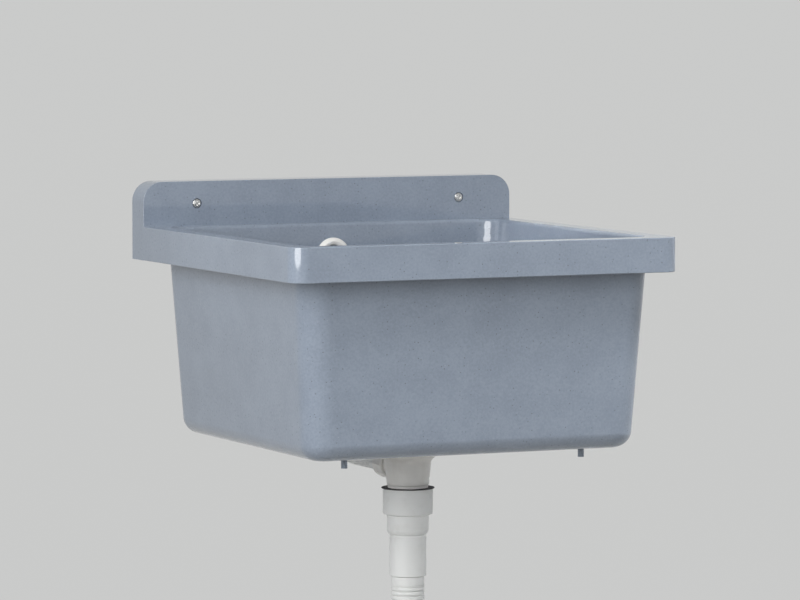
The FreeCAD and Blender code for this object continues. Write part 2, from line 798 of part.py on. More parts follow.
# Waste in the bowl's floor
def drain_strainer():
    """Dished strainer plate with a ring of holes and a screw hole."""
    where = ("0", DRAIN_Y, "0")
    lip = "strainer_plate"
    profile = [
        ("strainer_screw_radius + fit_gap", CUP_UNDER),
        (f"strainer_cup_radius + {lip}", CUP_UNDER),
        (f"strainer_mouth_radius + {lip} / 2", PLATE_UNDER),
        ("strainer_radius", PLATE_UNDER),
        ("strainer_radius", f"{PLATE_TOP} - {lip} / 2"),
        (f"strainer_radius - {lip}", PLATE_TOP),
        ("strainer_mouth_radius", PLATE_TOP),
        ("strainer_cup_radius", CUP_FLOOR),
        ("strainer_screw_radius + fit_gap", CUP_FLOOR),
    ]
    body = turned("drain_strainer", profile, where)
    sketch = sketch_on(body, "strainer_hole", "XY_Plane", CUP_FLOOR)
    out, radius = value("strainer_hole_circle"), value("strainer_hole_radius")
    sketch.addGeometry(Part.Circle(Vector(out, 0, 0), Vector(0, 0, 1), radius), False)
    sketch.addConstraint(Sketcher.Constraint("PointOnObject", 0, 3, -1))
    rules = (
        (Sketcher.Constraint("DistanceX", -1, 1, 0, 3, out), "strainer_hole_circle"),
        (Sketcher.Constraint("Radius", 0, radius), "strainer_hole_radius"),
    )
    for rule, expression in rules:
        bind(sketch, f"Constraints[{sketch.addConstraint(rule)}]", expression)
    hole = body.newObject("PartDesign::Pocket", "strainer_hole_cut")
    hole.Profile = sketch
    bind(hole, "Length", "2 * strainer_plate")
    doc.recompute()
    repeat_around(body, "strainer_holes", hole, sketch, STRAINER_HOLES)
    return body


def strainer_screw():
    """Screw that draws the strainer down onto the waste body's bridge."""
    size = "strainer_screw_radius"
    profile = [
        ("0", f"{CUP_FLOOR} - strainer_screw_length"),
        (size, f"{CUP_FLOOR} - strainer_screw_length"),
        (size, CUP_FLOOR),
        ("strainer_screw_head", CUP_FLOOR),
        ("strainer_screw_head / 2", f"{CUP_FLOOR} + {size}"),
        ("0", f"{CUP_FLOOR} + {size}"),
    ]
    return turned("strainer_screw", profile, ("0", DRAIN_Y, "0"))


def flange_seal():
    """Thin seal under the strainer's plate."""
    outer = "strainer_radius - edge_break"
    return ring("flange_seal", "drain_hole_radius", outer, RECESS, PLATE_UNDER, ("0", DRAIN_Y, "0"))


def waste_gasket():
    """Thick rubber ring between the bowl's floor boss and the waste body."""
    inner = "drain_hole_radius + edge_break"
    return ring("waste_gasket", inner, "strainer_radius", WASTE_TOP, BOSS_UNDER, ("0", DRAIN_Y, "0"))


def waste_body():
    """Funnel-shaped waste with its tail, its overflow branch and the bridge for the screw."""
    axis = ("0", DRAIN_Y)
    under = f"{WASTE_TOP} - waste_flange"
    throat = f"{WASTE_TOP} - waste_throat_drop"
    funnel = "strainer_radius - rim_wall"
    outside_profile = [
        ("0", WASTE_TOP),
        ("strainer_radius", WASTE_TOP),
        ("strainer_radius", under),
        (funnel, under),
        ("waste_throat_radius", throat),
        ("waste_neck_radius", NECK_END),
        ("tail_radius", f"{NECK_END} - (waste_neck_radius - tail_radius)"),
        ("tail_radius", TAIL_END),
        ("0", TAIL_END),
    ]
    bowl_radius = "drain_hole_radius + edge_break"
    bore_profile = [
        ("0", f"{WASTE_TOP} + overrun"),
        (bowl_radius, f"{WASTE_TOP} + overrun"),
        (bowl_radius, under),
        ("waste_bore_radius", f"{throat} - elbow_wall"),
        ("waste_bore_radius", f"{TAIL_END} - overrun"),
        ("0", f"{TAIL_END} - overrun"),
    ]
    outside = turned("waste_outside", outside_profile, (*axis, "0"))
    branch = cylinder("waste_branch", "branch_radius", "branch_reach", (*axis, BRANCH_Z), TO_WALL)
    thread_start = ("0", f"{DRAIN_Y} + branch_reach - thread_length", BRANCH_Z)
    thread = cylinder("waste_thread", "thread_radius", "thread_length", thread_start, TO_WALL)
    bore = turned("waste_bore", bore_profile, (*axis, "0"))
    bore_length = "branch_reach + overrun"
    branch_bore = cylinder("waste_branch_bore", "branch_bore_radius", bore_length, (*axis, BRANCH_Z), TO_WALL)
    shell = cut("waste_shell", fuse("waste_solid", outside, branch, thread), bore, branch_bore)
    bar_low = ("-strainer_radius", f"{DRAIN_Y} - bridge_width / 2", f"{CUP_UNDER} - bridge_height")
    bar = block("bridge_bar", bar_low, ("2 * strainer_radius", "bridge_width", "bridge_height"))
    web = common("bridge_web", bar, outside)
    boss_length = "strainer_screw_length - strainer_plate"
    boss_low = f"{CUP_UNDER} - ({boss_length})"
    boss = cylinder("bridge_boss", "bridge_boss_radius", boss_length, (*axis, boss_low))
    hole_start = (*axis, f"{boss_low} - overrun")
    hole_length = f"{boss_length} + 2 * overrun"
    hole = cylinder("bridge_hole", "strainer_screw_radius + fit_gap", hole_length, hole_start)
    return cut("waste_body", fuse("waste_bridged", shell, web, boss), hole)


# Cuff and ribbed drain hose
def lip_seal():
    """Black lip ring between the tail and the cuff, with a thin flange on the cuff's mouth."""
    outer = "cuff_top_radius - cuff_wall - fit_gap"
    inner = "tail_radius + fit_gap"
    profile = [
        (inner, f"{CUFF_TOP} + lip_flange"),
        ("lip_flange_radius", f"{CUFF_TOP} + lip_flange"),
        ("lip_flange_radius", CUFF_TOP),
        (outer, CUFF_TOP),
        (outer, f"{CUFF_TOP} - lip_seal_height"),
        (inner, f"{CUFF_TOP} - lip_seal_height"),
    ]
    return turned("lip_seal", profile, ("0", DRAIN_Y, "0"))


def hose_cuff():
    """Stepped soft cuff that carries the hose on the waste's tail."""
    step = "cuff_step"
    outside = [
        ("cuff_top_radius", CUFF_TOP),
        ("cuff_top_radius", CUFF_SHOULDER),
        ("cuff_middle_radius", f"{CUFF_SHOULDER} - {step}"),
        ("cuff_middle_radius", CUFF_WAIST),
        ("cuff_lower_radius", f"{CUFF_WAIST} - {step}"),
        ("cuff_lower_radius", CUFF_FOOT),
        ("cuff_end_radius", f"{CUFF_FOOT} - {step} / 2"),
        ("cuff_end_radius", CUFF_END),
    ]
    inside = [
        ("cuff_end_radius - cuff_wall", CUFF_END),
        ("cuff_end_radius - cuff_wall", f"{CUFF_FOOT} + cuff_wall"),
        ("cuff_lower_radius - cuff_wall", f"{CUFF_FOOT} + cuff_wall + {step}"),
        ("cuff_lower_radius - cuff_wall", f"{CUFF_WAIST} + cuff_wall - {step}"),
        ("cuff_middle_radius - cuff_wall", f"{CUFF_WAIST} + cuff_wall"),
        ("cuff_middle_radius - cuff_wall", f"{CUFF_SHOULDER} - {step}"),
        ("cuff_top_radius - cuff_wall", f"{CUFF_SHOULDER} + cuff_wall - {step}"),
        ("cuff_top_radius - cuff_wall", CUFF_TOP),
    ]
    return turned("hose_cuff", outside + inside, ("0", DRAIN_Y, "0"))


def drain_hose():
    """Ribbed hose hanging straight down from the cuff."""
    top, bottom, y = value(CUFF_END), value(HOSE_END), value(DRAIN_Y)
    crest = value("hose_radius")
    root = crest - value("hose_rib_depth")
    plain = value("hose_plain_end")
    ribbed = value("hose_ribbed_length")
    count = round(ribbed / value("hose_rib_pitch"))
    pitch = ribbed / count
    print(f"drain hose: length {top - bottom:.1f}, straight, {count} ribs")
    sections = [(0, root)]
    for number in range(count):
        sections += rib_profile(plain + number * pitch, pitch, crest, root)
    sections.append((top - bottom, root))
    stations = [(Vector(0, y, top - distance), DOWN, radius) for distance, radius in sections]
    outside = ribbed_outside(stations)
    bore = Part.makeCylinder(value("hose_bore"), top - bottom, Vector(0, y, bottom))
    hose = doc.addObject("Part::Feature", "drain_hose")
    hose.Shape = outside.cut(bore)
    hose.Label = "drain_hose"
    return hose


def end_spigot():
    """Plain pipe end with a collar, which pushes into a drain pipe."""
    low = f"{HOSE_END} - spigot_length"
    profile = [
        ("spigot_bore", HOSE_END),
        ("spigot_collar_radius", HOSE_END),
        ("spigot_collar_radius", f"{HOSE_END} - spigot_collar"),
        ("spigot_radius", f"{HOSE_END} - spigot_collar"),
        ("spigot_radius", f"{low} + 2 * edge_break"),
        ("spigot_radius - edge_break", low),
        ("spigot_bore", low),
    ]
    return turned("end_spigot", profile, ("0", DRAIN_Y, "0"))


# Rubber plug that closes the strainer
PLUG_TOP = f"({PLATE_TOP} + plug_rim_height)"
EYE_Z = f"({PLUG_TOP} + tab_height - tab_width / 2)"


def drain_plug():
    """Tapered rubber plug, hollow below, with an eyed tab on top."""
    low = f"({PLUG_TOP} - plug_height)"
    slope = "(strainer_mouth_radius - strainer_cup_radius) / strainer_cup_depth"
    radius_low = f"strainer_cup_radius + ({low} - {CUP_FLOOR}) * {slope} - plug_seat_gap"
    radius_high = "strainer_mouth_radius - plug_seat_gap"
    profile = [
        ("0", f"{low} + plug_hollow"),
        ("plug_hollow_radius - edge_break", f"{low} + plug_hollow"),
        ("plug_hollow_radius", low),
        (radius_low, low),
        (radius_high, PLATE_TOP),
        (radius_high, f"{PLUG_TOP} - edge_break"),
        (f"{radius_high} - edge_break", PLUG_TOP),
        ("0", PLUG_TOP),
    ]
    stopper = turned("plug_stopper", profile, ("0", DRAIN_Y, "0"))
    tab_low = ("-tab_thickness / 2", f"{DRAIN_Y} - tab_width / 2", f"{PLUG_TOP} - edge_break")
    tab = block("plug_tab", tab_low, ("tab_thickness", "tab_width", f"{EYE_Z} - {PLUG_TOP} + edge_break"))
    crown_start = ("-tab_thickness / 2", DRAIN_Y, EYE_Z)
    across = Rotation(Vector(0, 1, 0), 90)
    crown = cylinder("plug_tab_crown", "tab_width / 2", "tab_thickness", crown_start, across)
    eye_start = ("-tab_thickness", DRAIN_Y, EYE_Z)
    eye = cylinder("plug_eye", "ring_eye_radius", "2 * tab_thickness", eye_start, across)
    return cut("drain_plug", fuse("plug_with_tab", stopper, tab, crown), eye)


def pull_ring():
    """Wire ring through the tab's eye, lying down towards the front on the plug's rim."""
    rest_height = value(f"{EYE_Z} - {PLUG_TOP} - ring_wire_radius - slip_gap")
    tilt = math.degrees(math.asin(rest_height / value("2 * ring_radius + ring_wire_radius")))
    wire = doc.addObject("Part::Torus", "pull_ring")
    bind(wire, "Radius1", "ring_radius")
    bind(wire, "Radius2", "ring_wire_radius")
    wire.Label = "pull_ring"
    turn = Rotation(Vector(1, 0, 0), tilt)
    eye = Vector(0, value(DRAIN_Y), value(EYE_Z))
    wire.Placement = Placement(eye + turn.multVec(Vector(0, -value("ring_radius"), 0)), turn)
    print(f"pull ring: tilt {tilt:.2f} degrees, eye at z {eye.z:.2f}")
    return wire


SUB_PARTS = [
    basin(),
    wall_screws(),
    overflow_cover(),
    overflow_screw(),
    overflow_gasket(),
    overflow_elbow(),
    *union_pieces("elbow", ("0", "-overflow_from_wall", ELBOW_END), DOWN),
    overflow_hose(),
    *union_pieces("branch", ("0", f"{DRAIN_Y} + branch_reach", BRANCH_Z), TO_WALL),
    drain_strainer(),
    strainer_screw(),
    flange_seal(),
    waste_gasket(),
    waste_body(),
    lip_seal(),
    hose_cuff(),
    drain_hose(),
    end_spigot(),
    drain_plug(),
    pull_ring(),
]
doc.recompute()

for item in doc.Objects:
    if "Invalid" in item.State or "Error" in item.State:
        raise RuntimeError(f"{item.Label} did not build: {item.State}")
for item in SUB_PARTS:
    if item.Shape.isNull() or not item.Shape.isValid():
        raise RuntimeError(f"{item.Label} has no valid shape")

os.makedirs("parts", exist_ok=True)
for item in SUB_PARTS:
    item.Shape.exportStep(f"parts/{item.Label}.step")
    print(f"{item.Label}: {len(item.Shape.Solids)} solid(s), {item.Shape.Volume / 1000:.2f} cm3")
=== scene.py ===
"""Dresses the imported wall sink: smooth mouldings, lathed plastic fittings, ribbed hoses and finishes."""
import logging
import math
from dataclasses import dataclass, field
from enum import Enum
from typing import Optional, Sequence, Union

import bmesh
import bpy
from mathutils import Matrix, Vector


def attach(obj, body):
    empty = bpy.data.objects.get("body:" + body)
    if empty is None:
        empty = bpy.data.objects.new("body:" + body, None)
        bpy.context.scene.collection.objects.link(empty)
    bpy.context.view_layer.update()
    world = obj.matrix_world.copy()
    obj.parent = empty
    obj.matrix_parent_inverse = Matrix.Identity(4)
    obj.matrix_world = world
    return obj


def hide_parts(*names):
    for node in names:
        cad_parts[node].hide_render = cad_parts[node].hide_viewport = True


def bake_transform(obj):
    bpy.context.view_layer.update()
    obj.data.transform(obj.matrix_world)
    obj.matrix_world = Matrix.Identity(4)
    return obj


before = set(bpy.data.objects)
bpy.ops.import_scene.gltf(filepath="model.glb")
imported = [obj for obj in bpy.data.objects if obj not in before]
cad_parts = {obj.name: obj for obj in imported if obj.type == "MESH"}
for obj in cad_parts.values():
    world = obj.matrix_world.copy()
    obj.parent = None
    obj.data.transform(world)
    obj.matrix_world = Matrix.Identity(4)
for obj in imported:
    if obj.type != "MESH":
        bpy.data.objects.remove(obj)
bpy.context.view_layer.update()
Item = bpy.types.Object
Material = bpy.types.Material
Shape = bmesh.types.BMesh
log = logging.getLogger("wall_sink")
MM = 0.001
DRAIN = (0.0, -216.0, 0.0)
RIB_ROWS = 17.0
RIB_MIDDLE = 0.45
RIB_FOOT = 0.44
RIB_TOP = 0.31


class Body(Enum):
    """Bodies of the model that pieces ride on."""

    SINK = "sink"
    HOSE_END = "hose_end"
    PLUG = "plug"
    RING = "ring"


class Slot(Enum):
    """Material slots of the record."""

    MOULDING = "speckled_moulding"
    SCREW = "screw_steel"
    WHITE = "white_plastic"
    HOSE = "white_hose"
    RUBBER = "black_rubber"
    STRAINER = "strainer_steel"


Number = Union[float, "Signal"]


class Signal:
    """A node's output socket that takes part in Python expressions."""

    def __init__(self, graph: "Graph", socket: bpy.types.NodeSocket) -> None:
        """Keeps the socket and the graph that it lies on."""
        self.graph = graph
        self.socket = socket

    def __add__(self, other: Number) -> "Signal":
        """Signal plus other."""
        return self.graph.math("ADD", self, other)

    __radd__ = __add__

    def __mul__(self, other: Number) -> "Signal":
        """Signal times other."""
        return self.graph.math("MULTIPLY", self, other)

    __rmul__ = __mul__

    def __sub__(self, other: Number) -> "Signal":
        """Signal minus other."""
        return self.graph.math("SUBTRACT", self, other)

    def __rsub__(self, other: Number) -> "Signal":
        """Other minus signal."""
        return self.graph.math("SUBTRACT", other, self)

    def __truediv__(self, other: Number) -> "Signal":
        """Signal divided by other."""
        return self.graph.math("DIVIDE", self, other)


class Graph:
    """Node tree whose nodes are set and linked as they are added."""

    def __init__(self, tree: bpy.types.NodeTree) -> None:
        """Keeps the tree."""
        self.tree = tree

    def add(
        self,
        kind: str,
        settings: Optional[dict] = None,
        sockets: Optional[dict] = None,
        output: Union[int, str] = 0,
    ) -> Signal:
        """Adds any node.

        Args:
            kind: the node's type.
            settings: the node's own settings.
            sockets: values or signals by socket name or number.
            output: name or number of the socket that is wanted.

        Returns:
            The signal that comes out of that socket.
        """
        node = self.tree.nodes.new(kind)
        for name, setting in (settings or {}).items():
            setattr(node, name, setting)
        for name, value in (sockets or {}).items():
            self.feed(node.inputs[name], value)
        return Signal(self, node.outputs[output])

    def feed(self, socket: bpy.types.NodeSocket, value: object) -> None:
        """Links a signal to a socket, or writes a value on it."""
        if isinstance(value, Signal):
            self.tree.links.new(value.socket, socket)
        elif socket.type == "RGBA":
            socket.default_value = (*value, 1.0)
        else:
            socket.default_value = value

    def find(self, kind: str) -> bpy.types.Node:
        """First node of a type."""
        return next(node for node in self.tree.nodes if node.type == kind)

    def math(self, operation: str, first: Number, second: Number = 0.0) -> Signal:
        """Result of a Math node."""
        return self.add("ShaderNodeMath", {"operation": operation}, {0: first, 1: second})

    def step(self, signal: Signal, low: float, high: float) -> Signal:
        """Smooth step of a signal from 0 at low to 1 at high."""
        settings = {"interpolation_type": "SMOOTHSTEP"}
        return self.add("ShaderNodeMapRange", settings, {"Value": signal, "From Min": low, "From Max": high})


class Shading(Graph):
    """Shader nodes of a material or a world."""

    def place(self, centre: Sequence[float] = (0, 0, 0), stretch: Sequence[float] = (1, 1, 1)) -> Signal:
        """Object coordinates, moved and stretched.

        Args:
            centre: point that becomes the pattern's origin, in metres.
            stretch: scale along each axis.

        Returns:
            The coordinates.
        """
        coordinates = self.add("ShaderNodeTexCoord", output="Object")
        moved = self.add("ShaderNodeVectorMath", {"operation": "SUBTRACT"}, {0: coordinates, 1: centre})
        return self.add("ShaderNodeVectorMath", {"operation": "MULTIPLY"}, {0: moved, 1: stretch})

    def noise(self, where: Signal, scale: float, detail: float = 3.0, roughness: float = 0.5) -> Signal:
        """Noise from 0 to 1 at a scale per metre.

        Args:
            where: coordinates.
            scale: repeats per metre.
            detail: octaves.
            roughness: weight of the finer octaves.

        Returns:
            The noise.
        """
        sockets = {"Vector": where, "Scale": scale, "Detail": detail, "Roughness": roughness}
        return self.add("ShaderNodeTexNoise", {"noise_dimensions": "3D"}, sockets, "Fac")

    def mix(self, factor: Signal, first: object, second: object) -> Signal:
        """Colour between first and second."""
        sockets = {0: factor, 6: first, 7: second}
        return self.add("ShaderNodeMix", {"data_type": "RGBA"}, sockets, 2)

    def bump(self, height: Signal, depth: float, strength: float) -> Signal:
        """Surface normal from a height.

        Args:
            height: signal from 0 to 1.
            depth: height of 1, in metres.
            strength: share of the effect.

        Returns:
            The normal.
        """
        sockets = {"Strength": strength, "Distance": depth, "Height": height}
        return self.add("ShaderNodeBump", {}, sockets, "Normal")

    def seen(self) -> Signal:
        """1 for rays that come straight, mirrored or through glass to the camera, else 0."""
        kinds = ("Camera", "Glossy", "Transmission")
        rays = [self.add("ShaderNodeLightPath", output=f"Is {kind} Ray") for kind in kinds]
        return self.math("MINIMUM", rays[0] + rays[1] + rays[2], 1.0)


class Board(Shading):
    """Shader nodes of a new material."""

    def __init__(self, name: str) -> None:
        """Makes the material with a bare shader."""
        self.material = bpy.data.materials.new(name)
        self.material.use_nodes = True
        super().__init__(self.material.node_tree)
        self.shader = self.find("BSDF_PRINCIPLED")

    def dress(self, **sockets: object) -> Material:
        """Feeds the shader's sockets, whose names have underscores for spaces."""
        for name, value in sockets.items():
            self.feed(self.shader.inputs[name.replace("_", " ")], value)
        return self.material


@dataclass(frozen=True)
class SpeckledMoulding:
    """Satin blue-grey moulding with fine mottling and sparse dark specks."""

    light: tuple = (0.250, 0.293, 0.358)
    dark: tuple = (0.208, 0.245, 0.304)
    speck: tuple = (0.132, 0.154, 0.189)
    fleck: tuple = (0.340, 0.385, 0.450)
    mottle_scale: float = 430.0
    cloud_scale: float = 30.0
    speck_scale: float = 250.0
    fleck_scale: float = 140.0
    speck_size: float = 0.0009
    speck_share: float = 0.55
    fleck_size: float = 0.0006
    fleck_share: float = 0.4
    grain_scale: float = 260.0
    base_shine: float = 0.12
    coat_roughness: float = 0.03
    coat_index: float = 1.6

    def dots(self, board: Board, where: Signal, scale: float, size: float, share: float) -> Signal:
        """Scattered dots of uneven strength.

        Args:
            board: board of the material.
            where: coordinates.
            scale: cells per metre.
            size: radius of a dot, in metres.
            share: share of the cells that have one.

        Returns:
            A signal that is up to 1 on a dot and 0 elsewhere.
        """
        sockets = {"Vector": where, "Scale": scale, "Randomness": 1.0}
        near = board.add("ShaderNodeTexVoronoi", {"feature": "F1"}, sockets, "Distance")
        cell = board.add("ShaderNodeTexVoronoi", {"feature": "F1"}, sockets, "Color")
        pick = board.add("ShaderNodeSeparateColor", {}, {"Color": cell}, "Red")
        inside = 1 - board.step(near, 0.25 * size * scale, size * scale)
        return inside * board.step(pick, 1 - share, 1.3 - share)

    def build(self) -> Material:
        """Makes the material."""
        board = Board("speckled_moulding")
        where = board.place()
        mottle = board.noise(where, self.mottle_scale, 3.0, 0.62)
        cloud = board.noise(where, self.cloud_scale, 4.0, 0.55)
        tone = board.step(mottle * 0.6 + cloud * 0.4, 0.34, 0.66)
        flecks = self.dots(board, where, self.fleck_scale, self.fleck_size, self.fleck_share)
        specks = self.dots(board, where, self.speck_scale, self.speck_size, self.speck_share)
        ground = board.mix(flecks, board.mix(tone, self.dark, self.light), self.fleck)
        colour = board.mix(specks, ground, self.speck)
        gloss = 0.34 + cloud * 0.08 + mottle * 0.05
        normal = board.bump(board.noise(where, self.grain_scale, 2.0), 0.0002, 0.012)
        return board.dress(
            Base_Color=colour, Roughness=gloss, Normal=normal, IOR=1.5, Specular_IOR_Level=self.base_shine,
            Coat_Weight=1.0, Coat_Roughness=self.coat_roughness, Coat_IOR=self.coat_index,
        )


@dataclass(frozen=True)
class WhitePlastic:
    """Satin white moulded plastic, a little greyed by handling."""

    name: str = "white_plastic"
    clean: tuple = (0.840, 0.822, 0.790)
    worn: tuple = (0.750, 0.730, 0.695)
    roughness: float = 0.30

    def build(self) -> Material:
        """Makes the material."""
        board = Board(self.name)
        where = board.place()
        cloud = board.noise(where, 55.0, 4.0, 0.6)
        grain = board.noise(where, 1400.0, 2.0)
        grime = board.step(cloud, 0.48, 0.74)
        colour = board.mix(grime * 0.7, self.clean, self.worn)
        normal = board.bump(grain, 0.00012, 0.10)
        gloss = self.roughness + cloud * 0.12 + grain * 0.04
        return board.dress(Base_Color=colour, Roughness=gloss, Normal=normal, IOR=1.49)


SOFT_HOSE = WhitePlastic("soft_white_hose", (0.800, 0.806, 0.794), (0.710, 0.710, 0.692), 0.42)


@dataclass(frozen=True)
class BlackRubber:
    """Matt black rubber with a faint grey bloom."""

    black: tuple = (0.028, 0.027, 0.030)
    bloom: tuple = (0.080, 0.076, 0.084)

    def build(self) -> Material:
        """Makes the material."""
        board = Board("black_rubber")
        where = board.place()
        cloud = board.noise(where, 120.0, 4.0, 0.6)
        grain = board.noise(where, 1800.0, 2.0)
        colour = board.mix(board.step(cloud, 0.42, 0.72), self.black, self.bloom)
        normal = board.bump(grain, 0.0002, 0.25)
        return board.dress(Base_Color=colour, Roughness=0.52 + cloud * 0.25, Normal=normal, IOR=1.52)


@dataclass(frozen=True)
class PlatedSteel:
    """Bright zinc-plated steel with a fine uneven grain."""

    bright: tuple = (0.80, 0.80, 0.79)
    dull: tuple = (0.58, 0.58, 0.58)

    def build(self) -> Material:
        """Makes the material."""
        board = Board("plated_steel")
        where = board.place()
        grain = board.noise(where, 900.0, 3.0, 0.6)
        tarnish = board.step(board.noise(where, 380.0, 3.0), 0.42, 0.82)
        colour = board.mix(tarnish, self.bright, self.dull)
        normal = board.bump(grain, 0.0001, 0.12)
        return board.dress(Base_Color=colour, Metallic=1.0, Roughness=0.32 + tarnish * 0.12, Normal=normal)


@dataclass(frozen=True)
class SpunSteel:
    """Stainless steel with fine rings brushed around an axis."""

    axis: tuple = (0.0, -0.216, 0.0)
    bright: tuple = (0.68, 0.68, 0.67)
    dull: tuple = (0.52, 0.52, 0.51)
    ring_scale: float = 1500.0

    def build(self) -> Material:
        """Makes the material."""
        board = Board("spun_steel")
        flat = board.place(self.axis, (1, 1, 0))
        away = board.add("ShaderNodeVectorMath", {"operation": "LENGTH"}, {0: flat}, "Value")
        sockets = {"W": away, "Scale": self.ring_scale, "Detail": 2.0}
        rings = board.add("ShaderNodeTexNoise", {"noise_dimensions": "1D"}, sockets, "Fac")
        water = board.noise(board.place(), 70.0, 4.0, 0.6)
        marks = board.step(water, 0.50, 0.72)
        colour = board.mix(rings * 0.3 + marks * 0.3, self.bright, self.dull)
        normal = board.bump(rings, 0.00006, 0.10)
        gloss = 0.22 + marks * 0.14 + rings * 0.06
        return board.dress(Base_Color=colour, Metallic=1.0, Roughness=gloss, Normal=normal)


def new_object(name: str, data: bpy.types.ID) -> Item:
    """Links a mesh, curve, lamp or camera into the scene as an object at the origin."""
    item = bpy.data.objects.new(name, data)
    bpy.context.scene.collection.objects.link(item)
    return item


def mesh_object(name: str, shape: Shape) -> Item:
    """Object of a built mesh, which is freed."""
    mesh = bpy.data.meshes.new(name)
    shape.to_mesh(mesh)
    shape.free()
    return new_object(name, mesh)


def evaluated_copy(item: Item) -> bpy.types.Mesh:
    """Plain mesh of an object with its modifiers worked in."""
    graph = bpy.context.evaluated_depsgraph_get()
    graph.update()
    return bpy.data.meshes.new_from_object(item.evaluated_get(graph))


def bake_modifiers(item: Item) -> None:
    """Puts the modified mesh in place of the object's own and drops its modifiers."""
    mesh = evaluated_copy(item)
    old = item.data
    item.modifiers.clear()
    item.data = mesh
    bpy.data.meshes.remove(old)


def shade(item: Item, sharp_degrees: float) -> None:
    """Smooths a mesh between its sharp edges, with normals weighted by face area.

    Args:
        item: object whose mesh is shaded.
        sharp_degrees: edges that turn by more than this stay sharp.
    """
    shape = bmesh.new()
    shape.from_mesh(item.data)
    limit = math.radians(sharp_degrees)
    for face in shape.faces:
        face.smooth = True
    for edge in shape.edges:
        edge.smooth = len(edge.link_faces) == 2 and edge.calc_face_angle() < limit
    shape.to_mesh(item.data)
    shape.free()
    weighting = item.modifiers.new("weighting", "WEIGHTED_NORMAL")
    weighting.mode = "FACE_AREA"
    weighting.keep_sharp = True
    bake_modifiers(item)


def place_copy(
    node: str, name: str, sharp_degrees: float, body: Body, material: Material
) -> None:
    """Places a merged and smoothed copy of a solid's mesh.

    Args:
        node: name of the solid's node.
        name: name of the new piece.
        sharp_degrees: edges that turn by more than this stay sharp.
        body: body that it rides on.
        material: the finish.
    """
    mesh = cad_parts[node].data.copy()
    mesh.name = name
    mesh.materials.clear()
    shape = bmesh.new()
    shape.from_mesh(mesh)
    bmesh.ops.remove_doubles(shape, verts=shape.verts, dist=1e-6)
    shape.to_mesh(mesh)
    shape.free()
    if mesh.attributes.get("custom_normal"):
        mesh.attributes.remove(mesh.attributes["custom_normal"])
    item = new_object(name, mesh)
    shade(item, sharp_degrees)
    place_piece(item, body, material, node)


def place_piece(item: Item, body: Body, material: Material, node: str) -> Item:
    """Gives a finished piece its material and body, and hides the solid that it stands for.

    Args:
        item: the piece.
        body: body that it rides on.
        material: the finish.
        node: solid that it stands for.

    Returns:
        The piece.
    """
    item.data.materials.clear()
    item.data.materials.append(material)
    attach(item, body.value)
    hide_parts(node)
    log.info("%s: %d faces on %s", item.name, len(item.data.polygons), body.value)
    return item


def finish_node(node: str, material: Material) -> None:
    """Gives a solid that stays in view its finish."""
    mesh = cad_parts[node].data
    mesh.materials.clear()
    mesh.materials.append(material)
    log.info("%s: finish %s", node, material.name)


Corner = tuple[float, float, float]


def rounded_outline(corners: Sequence[Corner], steps: int = 6) -> list[tuple[float, float]]:
    """Closed outline with each corner rounded by its own radius.

    Args:
        corners: (radius from the axis, height, rounding) of each corner.
        steps: points along each rounding.

    Returns:
        The outline's points.
    """
    points: list[tuple[float, float]] = []
    count = len(corners)
    for index, (across, up, rounding) in enumerate(corners):
        here = Vector((across, up))
        before = Vector(corners[index - 1][:2]) - here
        after = Vector(corners[(index + 1) % count][:2]) - here
        turn = before.angle(after)
        if rounding <= 0 or turn > math.pi - 1e-3:
            points.append((across, up))
            continue
        reach = min(rounding / math.tan(turn / 2), 0.49 * before.length, 0.49 * after.length)
        start, end = here + before.normalized() * reach, here + after.normalized() * reach
        radius = reach * math.tan(turn / 2)
        inwards = (before.normalized() + after.normalized()).normalized()
        centre = here + inwards * (radius / math.sin(turn / 2))
        sweep = (start - centre).angle_signed(end - centre)
        for number in range(steps + 1):
            arm = (start - centre).copy()
            arm.rotate(Matrix.Rotation(-sweep * number / steps, 2))
            points.append(tuple(centre + arm))
    return points


def lathe(shape: Shape, corners: Sequence[Corner], where: Matrix, segments: int) -> None:
    """Turns a closed outline with rounded corners about an axis into a mesh.

    Args:
        shape: mesh that takes the surface.
        corners: (radius, height, rounding) in millimetres.
        where: place of the axis, whose Z is the height, in metres.
        segments: divisions around the axis.
    """
    outline = rounded_outline(corners)
    rings = []
    for index in range(segments):
        angle = 2 * math.pi * index / segments
        along = Vector((math.cos(angle), math.sin(angle), 0))
        spots = [along * radius + Vector((0, 0, height)) for radius, height in outline]
        rings.append([shape.verts.new(where @ (spot * MM)) for spot in spots])
    count = len(outline)
    for index in range(segments):
        ring, other = rings[index], rings[(index + 1) % segments]
        for place in range(count):
            follow = (place + 1) % count
            if max(outline[place][0], outline[follow][0]) > 1e-6:
                shape.faces.new((ring[place], other[place], other[follow], ring[follow]))


def close_mesh(name: str, shape: Shape, sharp_degrees: Optional[float] = None) -> Item:
    """Merges a built mesh, points its faces outwards and makes it an object.

    Args:
        name: name of the object.
        shape: the built mesh, which is freed.
        sharp_degrees: edges that turn by more than this stay sharp; None leaves it unshaded.

    Returns:
        The object.
    """
    bmesh.ops.remove_doubles(shape, verts=shape.verts, dist=2e-7)
    bmesh.ops.dissolve_degenerate(shape, edges=shape.edges, dist=1e-7)
    bmesh.ops.recalc_face_normals(shape, faces=shape.faces)
    item = mesh_object(name, shape)
    if sharp_degrees is not None:
        shade(item, sharp_degrees)
    return item


def lathed(name: str, corners: Sequence[Corner], where: Matrix, segments: int = 96) -> Item:
    """One lathed piece with rounded corners.

    Args:
        name: name of the piece.
        corners: (radius, height, rounding) in millimetres.
        where: place of the axis.
        segments: divisions around the axis.

    Returns:
        The piece.
    """
    shape = bmesh.new()
    lathe(shape, corners, where, segments)
    return close_mesh(name, shape, 40.0)


